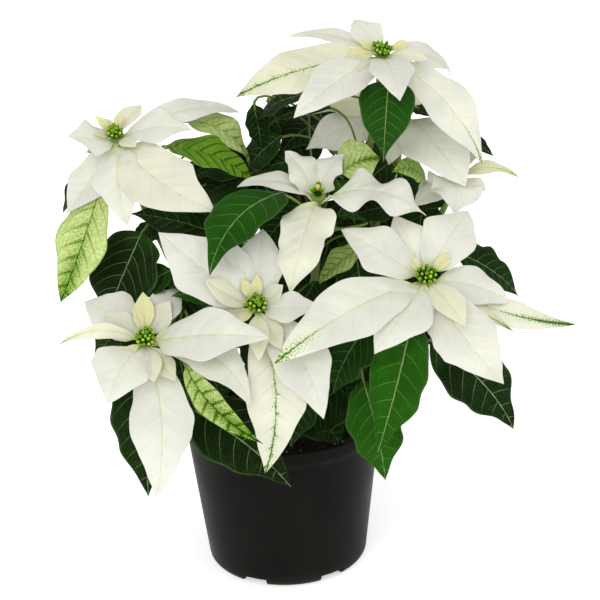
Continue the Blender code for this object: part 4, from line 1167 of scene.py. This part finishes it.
def stemPaths(name, leavesHere):
    path = branchPath(name)
    share = np.linspace(0, 1, len(path))
    radii = branch["radius"] + (branch["tipRadius"] - branch["radius"]) * share
    for blade, start in leavesHere:  # a knuckle where each leaf stalk leaves the branch
        apart = np.linalg.norm(path - start, axis=1)
        radii = radii + branch["knuckle"] * np.exp(-((apart / branch["knuckleHalf"]) ** 2))
    tones = np.clip(share * branch["toneGain"] + branch["toneShift"], 0, 1) ** branch["tonePower"]
    paths = [(path, radii, tones)]
    for blade, start in leavesHere:
        path = stalkPath(blade, start)
        share = np.linspace(0, 1, len(path))
        radii = stalk["radius"] * (
            stalk["ends"] - stalk["waist"] * np.sin(math.pi * share) - stalk["taper"] * share
        )
        # a stalk takes part of its leaf's tone, with the painted shade in it
        tones = stalk["tone"] + stalk["toneGain"] * blade["marks"]["tone"] + stalk["toneRise"] * share
        paths.append((path, radii, tones))
    return paths


def hubPaths(name):
    # the swollen top of the branch that carries the bracts
    middle, faces = headFrame(name)
    share = np.linspace(0, 1, hub["rings"])
    foot = middle - faces * (bladeSizes["hubDrop"] + hub["depth"] / 2)
    path = foot + share[:, None] * faces * hub["depth"]
    radii = hub["footRadius"] + (hub["radius"] - hub["footRadius"]) * share ** hub["swell"]
    return [(path, radii, np.full(hub["rings"], hub["tone"]))]


stems = stemTree()

# Buds

# rings: how many buds, how far from the middle, how far they lean, in degrees. share: how wide the cluster
# of a head is against the full one. unlike: how much their sizes differ
buds = {
    "rings": ((1, 0.0, 0.0), (6, 0.0023, 12.0), (11, 0.0043, 27.0)),
    "youngRings": ((1, 0.0, 0.0), (3, 0.0015, 26.0)),
    "share": {"a": 0.82, "b": 0.72, "c": 0.86, "d": 0.88, "e": 0.96, "h": 0.90},
    "length": 0.0058, "radius": 0.00140, "rows": 12, "sides": 15, "lobes": 5, "lobe": 0.09, "sink": 0.0012,
    "lower": 60, "smaller": 18, "stray": 0.00035, "strayLean": 6, "twist": 100, "unlike": 0.42,
    "openShare": 0.55, "ripe": 0.9, "seed": 11, "sizeSeed": 7.0, "sideways": (0.0, 1.0, 0.2),
}
# The green cushion under the buds, in the near-black painted shade of the bud finish: its radii along its
# depth
cushion = {
    "depth": 0.0030, "rings": 9, "radius": 0.0060, "youngRadius": 0.0032, "tone": 0.25, "sides": 20,
    "at": (0, 0.4, 0.8, 1.0), "wide": (0.35, 0.75, 0.72, 0.30),
}

# Outline of a bud as (height, radius, colour value): closed, and open with its rim turned in. A low colour
# value, towards the foot, gives the near-black painted shade of the gaps between buds
budOutlines = {
    "closed": (
        (0.00, 0.30, 0.00), (0.15, 0.55, 0.12), (0.45, 0.95, 0.42), (0.72, 1.00, 0.70), (0.88, 0.78, 0.86),
        (0.96, 0.50, 0.94), (1.00, 0.20, 1.00), (0.95, 0.00, 0.90),
    ),
    "open": (
        (0.00, 0.30, 0.00), (0.15, 0.55, 0.12), (0.42, 0.92, 0.40), (0.64, 1.00, 0.62), (0.80, 0.94, 0.82),
        (0.88, 0.80, 0.95), (0.89, 0.64, 1.00), (0.80, 0.50, 0.80), (0.70, 0.00, 0.45),
    ),
}
stamens = {
    "count": 4, "out": 0.34, "radius": 0.17, "sides": 6,
    "outline": ((0.66, 0.35, 0.6), (0.924, 0.45, 0.8), (1.056, 1.0, 1.0), (1.10, 0.0, 1.0)),
}


def ringFaces(rings, upwards):
    # faces between each ring of point numbers and the next one; a pole is a ring of the same point
    faces = []
    for ring, other in zip(rings, rings[1:]):
        for step in range(len(ring)):
            after = (step + 1) % len(ring)
            corners = [ring[step], other[step], other[after], ring[after]]
            if upwards:
                corners = [ring[step], ring[after], other[after], other[step]]
            faces.append(tuple(dict.fromkeys(corners)))
    return faces


def turnedForm(outline, sides, lobe):
    # points, colour values and faces of a small turned form that is closed at both ends
    knots = np.linspace(0, 1, len(outline))
    rows = np.linspace(0, 1, buds["rows"])
    high, wide, value = (np.interp(rows, knots, column) for column in zip(*outline))
    points, values, rings = [(0, 0, high[0])], [value[0]], [[0] * sides]
    for row in range(buds["rows"] - 1):
        rings.append(list(range(len(points), len(points) + sides)))
        for step in range(sides):
            angle = math.tau * step / sides
            reach = wide[row] * (1 + lobe * math.cos(buds["lobes"] * angle) * high[row])
            points.append((reach * math.cos(angle), reach * math.sin(angle), high[row]))
            values.append(value[row])
    rings.append([len(points)] * sides)
    points.append((0, 0, high[-1]))
    values.append(value[-1])
    return np.array(points, float), values, ringFaces(rings, True)


def stamenForms():
    # a few pale stamens that stand in the mouth of an open bud
    for index in range(stamens["count"]):
        angle = math.tau * index / stamens["count"]
        points, values, faces = turnedForm(stamens["outline"], stamens["sides"], 0.0)
        points[:, :2] *= stamens["radius"]
        points[:, 0] += stamens["out"] * math.cos(angle) * points[:, 2]
        points[:, 1] += stamens["out"] * math.sin(angle) * points[:, 2]
        yield points, values, faces


def budForm(kind):
    # one bud: an oval green cup with five lobes, drawn together over its top or open round its stamens
    forms = [turnedForm(budOutlines[kind], buds["sides"], buds["lobe"])]
    if kind == "open":
        forms += list(stamenForms())
    points, values, faces, start = [], [], [], 0
    for own, value, face in forms:
        points.append(own * (buds["radius"], buds["radius"], buds["length"]))
        values += value
        faces += [tuple(index + start for index in item) for item in face]
        start += len(own)
    mesh = newMesh(f"{kind}Bud", np.concatenate(points), faces)
    setValues(mesh, high=values)
    made = addObject(f"{kind}Bud", mesh)
    made.hide_render = True
    return made


def budTree():
    # one bud on each point, turned to the point's aim
    tree, given, output = newTree(
        "budsOnPoints", Bud="Object", Unlike="Float", Seed="Int", Material="Material",
    )
    aim = {"Vector": named(tree, "aim", "FLOAT_VECTOR")}
    aim = addNode(tree, "FunctionNodeAlignRotationToVector", aim, axis="Z").outputs[0]
    spin = {"Angle": calc(tree, "MULTIPLY", chance(tree, given["Seed"]), math.tau)}
    spin = addNode(tree, "FunctionNodeAxisAngleToRotation", spin).outputs[0]
    turn = addNode(tree, "FunctionNodeRotateRotation", {0: aim, 1: spin}, rotation_space="LOCAL").outputs[0]
    varied = calc(tree, "SUBTRACT", chance(tree, calc(tree, "ADD", given["Seed"], buds["sizeSeed"])), 0.5)
    varied = calc(tree, "MULTIPLY_ADD", varied, given["Unlike"], 1.0)
    scale = calc(tree, "MULTIPLY", varied, named(tree, "size"))
    endTree(tree, given, output, onPoints(tree, given["Bud"], given["Geometry"], turn, scale))
    return tree


def budPoints(name):
    # where the buds of a head stand and where they point, from the dome's middle outwards, for both kinds
    young = "young" in heads[name]
    middle, faces = headFrame(name)
    across = unit(np.cross(faces, buds["sideways"]))
    over = np.cross(faces, across)
    base = middle - faces * (bladeSizes["hubDrop"] - hub["depth"] / 2 - branch["gap"])
    share = buds["share"].get(name, 1.0)
    random = np.random.default_rng(buds["seed"] + ord(name))
    found = {"closed": [], "open": []}
    for count, radius, lean in buds["youngRings" if young else "rings"]:
        low = (cushion["depth"] - buds["sink"]) * (1 - buds["lower"] * radius)
        size = (1.0 - buds["smaller"] * radius) * share**0.5
        for index in range(count):
            angle = math.tau * (index + lean / buds["twist"]) / count + random.uniform(-0.5, 0.5) / count
            out = across * math.cos(angle) + over * math.sin(angle)
            tilt = math.radians(lean + random.uniform(-buds["strayLean"], buds["strayLean"])) * share
            stray = random.uniform(-1, 1, 3) * buds["stray"]
            kind = "open" if random.uniform() < buds["openShare"] and not young else "closed"
            ripe = buds["ripe"] if young and count == 1 else 0.0
            place = base + faces * low + out * radius * share + stray
            found[kind].append((place, faces * math.cos(tilt) + out * math.sin(tilt), size, ripe))
    made = []
    for kind, rows in found.items():
        if rows:
            places, aims, sizes, ripes = zip(*rows)
            mesh = newMesh(f"{kind}Buds{name}", places, [])
            setValues(mesh, aim=aims, size=sizes, ripe=ripes)
            made.append((kind, addObject(f"{kind}Buds{name}", mesh)))
    return made, base, share


def cushionPath(name, base, size):
    share = np.linspace(0, 1, cushion["rings"])
    wide = cushion["youngRadius" if "young" in heads[name] else "radius"] * size
    radii = wide * np.interp(share, cushion["at"], cushion["wide"])
    path = base + share[:, None] * headFrame(name)[1] * cushion["depth"]
    return [(path, radii, np.full(cushion["rings"], cushion["tone"]))]


budForms = {kind: budForm(kind) for kind in budOutlines}
budsOnPoints = budTree()
print("the form of a stem and of a bud is ready")

# Flower heads


def makeHead(name, letter):
    petals = bladeObject(f"bracts{letter}", bractsOf(name), ["bract"])
    hubInputs = {"Sides": hub["sides"], "Material": finishes["greenStem"]}
    holder = runNodes(pathsObject("hubPath", hubPaths(name)), stems, hubInputs, "hub")
    finishPiece(joined(f"bracts{letter}", petals, holder), "bracts", f"bracts_{name}")

    clusters, base, size = budPoints(name)
    budInputs = {"Unlike": buds["unlike"], "Seed": buds["seed"] + ord(name), "Material": finishes["budGreen"]}
    pieces = []
    for kind, points in clusters:
        pieces.append(runNodes(points, budsOnPoints, {**budInputs, "Bud": budForms[kind]}, kind))
    under = pathsObject("cushionPath", cushionPath(name, base, size))
    underInputs = {"Sides": cushion["sides"], "Material": finishes["budGreen"]}
    pieces.append(runNodes(under, stems, underInputs, "cushion"))
    finishPiece(joined(f"buds{letter}", *pieces), "buds", f"buds_{name}")

    leavesHere = leavesOf(name)
    foliage = bladeObject(f"leaves{letter}", [blade for blade, start in leavesHere], ["leaf", "mottled"])
    stemInputs = {"Sides": branch["sides"], "Material": finishes["greenStem"]}
    stalks = runNodes(pathsObject("stemPaths", stemPaths(name, leavesHere)), stems, stemInputs, "stalks")
    finishPiece(joined(f"leaves{letter}", foliage, stalks), "leafy", f"leafy_{name}")


for name in heads:
    makeHead(name, name.upper())
    print("flower head", name.upper(), "is made")
for form in budForms.values():
    bpy.data.objects.remove(form, do_unlink=True)

# Pot

pot = {
    "rimRadius": 0.0650, "height": 0.1020, "baseRadius": 0.0515, "wall": 0.0020, "lipRound": 0.0007,
    "collarDepth": 0.0080, "collarStep": 0.0012, "collarDraft": 0.0003, "collarEdge": 0.0005,
    "collarRoot": 0.0003, "collarRootDrop": 0.7, "innerBend": 0.002, "innerRows": (0.02, 0.095, 8),
    "outerRows": (0.088, 0.012, 10), "footHeight": 0.0055, "footWidth": 0.0075, "footDraft": 0.0010,
    "footRounding": 0.0060, "footEdge": 0.0006, "floor": 0.0025, "padRadius": 0.0180, "padDraft": 0.0040,
    "notches": 6, "notchAngle": math.radians(20), "frontFoot": math.radians(-86), "sides": 180,
    "soften": 0.0005, "softenFrom": math.radians(50), "sharp": math.radians(35),
}


def turnedMesh(name, profile, sides):
    # a turned solid from (radius, height) down its outer side, closed at both poles
    points, rings = [], []
    for radius, height in profile:
        if radius == 0:
            rings.append([len(points)] * sides)
            points.append((0, 0, height))
            continue
        rings.append(list(range(len(points), len(points) + sides)))
        for step in range(sides):
            angle = math.tau * step / sides
            points.append((radius * math.cos(angle), radius * math.sin(angle), height))
    return newMesh(name, points, ringFaces(rings, False))


def wallRadius(height):
    spread = pot["rimRadius"] - pot["collarStep"] - pot["baseRadius"]
    return pot["baseRadius"] + spread * height / pot["height"]


def arc(middle, radius, first, last, steps):
    # points on an arc, from the first angle to the last, in degrees
    angles = (math.radians(first + (last - first) * step / steps) for step in range(steps + 1))
    return [(middle[0] + radius * math.cos(a), middle[1] + radius * math.sin(a)) for a in angles]


def potProfile():
    # from the middle of the floor inside, over the rim and down to the pad underneath
    height, wall, lip, rim = pot["height"], pot["wall"], pot["lipRound"], pot["rimRadius"]
    edge, step, bow, pad = pot["collarEdge"], pot["collarStep"], pot["footRounding"], pot["padRadius"]
    collarLow = height - pot["collarDepth"]
    bend = wallRadius(bow) - bow
    innerFoot = bend - pot["footWidth"]
    innerLow = pot["footHeight"] + pot["floor"]
    inside = wallRadius(height) - wall
    foot = pot["footEdge"]
    return [
        (0, innerLow),
        (wallRadius(innerLow) - wall - pot["innerBend"], innerLow),
        (wallRadius(innerLow + pot["innerBend"]) - wall, innerLow + pot["innerBend"]),
        *[(wallRadius(h) - wall, h) for h in np.linspace(*pot["innerRows"])],
        *arc((inside + lip, height - lip), lip, 180, 90, 4),
        *arc((rim - lip, height - lip), lip, 90, 0, 5),
        (rim - pot["collarDraft"] * 0.5, height - pot["collarDepth"] * 0.5),
        *arc((rim - pot["collarDraft"] - edge, collarLow), edge, 0, -70, 3),
        (wallRadius(collarLow) + pot["collarRoot"], collarLow - step * pot["collarRootDrop"]),
        (wallRadius(collarLow), collarLow - step),
        *[(wallRadius(h), h) for h in np.linspace(*pot["outerRows"])],
        *arc((bend, bow), bow, 0, -90, 10),
        *arc((innerFoot + foot, foot), foot, -90, -180, 3),
        (innerFoot - pot["footDraft"], pot["footHeight"]),
        (pad + pot["padDraft"], pot["footHeight"]),
        (pad + foot, foot),
        (pad, 0),
        (0, 0),
    ]


def makePot():
    made = addObject("potShell", turnedMesh("potShell", potProfile(), pot["sides"]), finishes["potPlastic"])
    used = [made]
    notchWidth = 2 * pot["baseRadius"] * math.sin(pot["notchAngle"] / 2)
    for index in range(pot["notches"]):
        heading = pot["frontFoot"] + (index + 0.5) * math.tau / pot["notches"]
        bpy.ops.mesh.primitive_cube_add(size=1)
        cutter = bpy.context.object
        cutter.scale = (pot["footWidth"] * 3, notchWidth, 2 * pot["footHeight"])
        cutter.rotation_euler.z = heading
        cutter.location = (pot["baseRadius"] * math.cos(heading), pot["baseRadius"] * math.sin(heading), 0)
        cut = made.modifiers.new(f"notch{index}", "BOOLEAN")
        cut.operation = "DIFFERENCE"
        cut.object = cutter
        used.append(cutter)
    bevel = made.modifiers.new("soften", "BEVEL")
    bevel.width = pot["soften"]
    bevel.segments = 2
    bevel.limit_method = "ANGLE"
    bevel.angle_limit = pot["softenFrom"]
    bpy.context.view_layer.update()
    mesh = bpy.data.meshes.new_from_object(made.evaluated_get(bpy.context.evaluated_depsgraph_get()))
    for item in used:
        bpy.data.objects.remove(item, do_unlink=True)
    mesh.name = "potShell"
    mesh.shade_smooth()
    mesh.set_sharp_from_angle(angle=pot["sharp"])
    finishPiece(addObject("potShell", mesh), "pot", "pot")


makePot()
print("the pot is made")

# Soil and trunk


def grainTree():
    # crumbs scattered over the upper side of the soil
    tree, given, output = newTree(
        "grainsOnSoil", Grain="Object", Density="Float", Size="Float", Seed="Int", Material="Material",
    )
    facing = heightOf(tree, addNode(tree, "GeometryNodeInputNormal").outputs[0])
    upper = addNode(tree, "FunctionNodeCompare", {0: facing, 1: soil["facingUp"]}, operation="GREATER_THAN")
    spots = addNode(tree, "GeometryNodeDistributePointsOnFaces", {
        "Mesh": given["Geometry"], "Selection": upper.outputs[0], "Density": given["Density"],
        "Seed": given["Seed"],
    })
    spin = {0: (0.0,) * 3, 1: (6.28,) * 3, "Seed": given["Seed"]}
    spin = addNode(tree, "FunctionNodeRandomValue", spin, data_type="FLOAT_VECTOR").outputs[0]
    turn = addNode(tree, "FunctionNodeEulerToRotation", {0: spin}).outputs[0]
    scale = calc(tree, "MULTIPLY", chance(tree, given["Seed"], soil["least"]), given["Size"])
    placed = onPoints(tree, given["Grain"], spots.outputs["Points"], turn, scale)
    endTree(tree, given, output, placed, False)
    return tree


def crumbForm():
    # a rough crumb of peat or bark, two thirds as high as wide
    bpy.ops.mesh.primitive_ico_sphere_add(subdivisions=1, radius=1)
    made = bpy.context.object
    random = np.random.default_rng(soil["crumbSeed"])
    for vertex in made.data.vertices:
        vertex.co *= random.uniform(*soil["crumbStretch"])
        vertex.co.z *= soil["crumbHeight"]
    made.hide_render = True
    return made


def makeSoil():
    top, low, pace = soil["radius"], soil["lowRadius"], soil["roughSize"]
    holeRadius = trunk["radius"] + branch["gap"] * soil["holeGap"]
    holeLow = soil["top"] - soil["hole"]
    holeTop = soil["top"] + soil["dome"] * soil["holeRim"]
    profile = [(0, holeLow), (holeRadius, holeLow), (holeRadius, holeTop)]
    for step in range(1, soil["rings"]):
        share = holeRadius / top + (1 - holeRadius / top) * step / soil["rings"]
        profile.append((top * share, soil["top"] + soil["dome"] * math.cos(share * math.pi / 2)))
    profile += [(top, soil["top"]), (low, soil["low"]), (0, soil["low"])]
    body = addObject("soilBody", turnedMesh("soilBody", profile, soil["sides"]), finishes["darkSoilPaintedShade"])
    for vertex in body.data.vertices:
        x, y, z = vertex.co
        reach, upper = math.hypot(x, y), z > soil["top"] - soil["skin"]
        if upper and holeRadius * soil["roughFrom"] < reach < top * soil["roughTo"]:
            vertex.co.z += soil["rough"] * slowNoise(soil["roughSeed"], x / pace, y / pace)
    crumb = crumbForm()
    parts = [body]
    for name, finish, share, size, seed in crumbKinds:
        density = share * soil["grains"] / (math.pi * top**2)
        inputs = {"Grain": crumb, "Density": density, "Size": soil["grainSize"] * size, "Seed": seed}
        bed = addObject("bed", body.data.copy())
        parts.append(runNodes(bed, grainsOnSoil, {**inputs, "Material": finishes[finish]}, name))
    bpy.data.objects.remove(crumb, do_unlink=True)
    finishPiece(joined("soilBed", *parts), "soil", "soil")


def makeTrunk():
    # a woody stem with shallow bark ridges and a leaf scar here and there
    turn, form = trunk["rounding"], barkForm
    shoulder = trunk["top"] - turn
    profile = [(0, trunk["top"])]
    for angle in np.linspace(math.pi / 2, 0, 6):
        radius = trunkRadius(shoulder) - turn * (1 - math.cos(angle))
        profile.append((radius, shoulder + turn * math.sin(angle)))
    for height in np.linspace(shoulder - trunk["edge"], soil["top"], trunk["rows"]):
        profile.append((trunkRadius(height), height))
    profile += [(trunk["radius"], trunk["low"]), (0, trunk["low"])]
    mesh = turnedMesh("trunkStem", profile, trunk["sides"])
    for vertex in mesh.vertices:
        height = vertex.co.z
        reach = math.hypot(vertex.co.x, vertex.co.y)
        if soil["top"] + form["from"] < height < shoulder and reach > form["from"]:
            angle = math.atan2(vertex.co.y, vertex.co.x)
            ridge = sum(gain * math.sin(about * angle + up * height) for gain, about, up in form["ridges"])
            scar = sum(math.exp(-(((height - at) / half) ** 2)) for at, half in form["scars"])
            rough = form["even"] - form["ridgeGain"] * ridge + form["scarGain"] * scar
            vertex.co.xy = vertex.co.xy * (1 - trunk["bark"] * rough / reach)
    finishPiece(addObject("trunkStem", mesh, finishes["bark"]), "trunk", "trunk")


grainsOnSoil = grainTree()
makeSoil()
makeTrunk()
print("soil and trunk are made")

# Bounds of the imported model and of the built scene

boxes = {"cad": cadBox, "visual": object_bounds()}
{key: [[float(v) for v in corner] for corner in box] for key, box in boxes.items()}
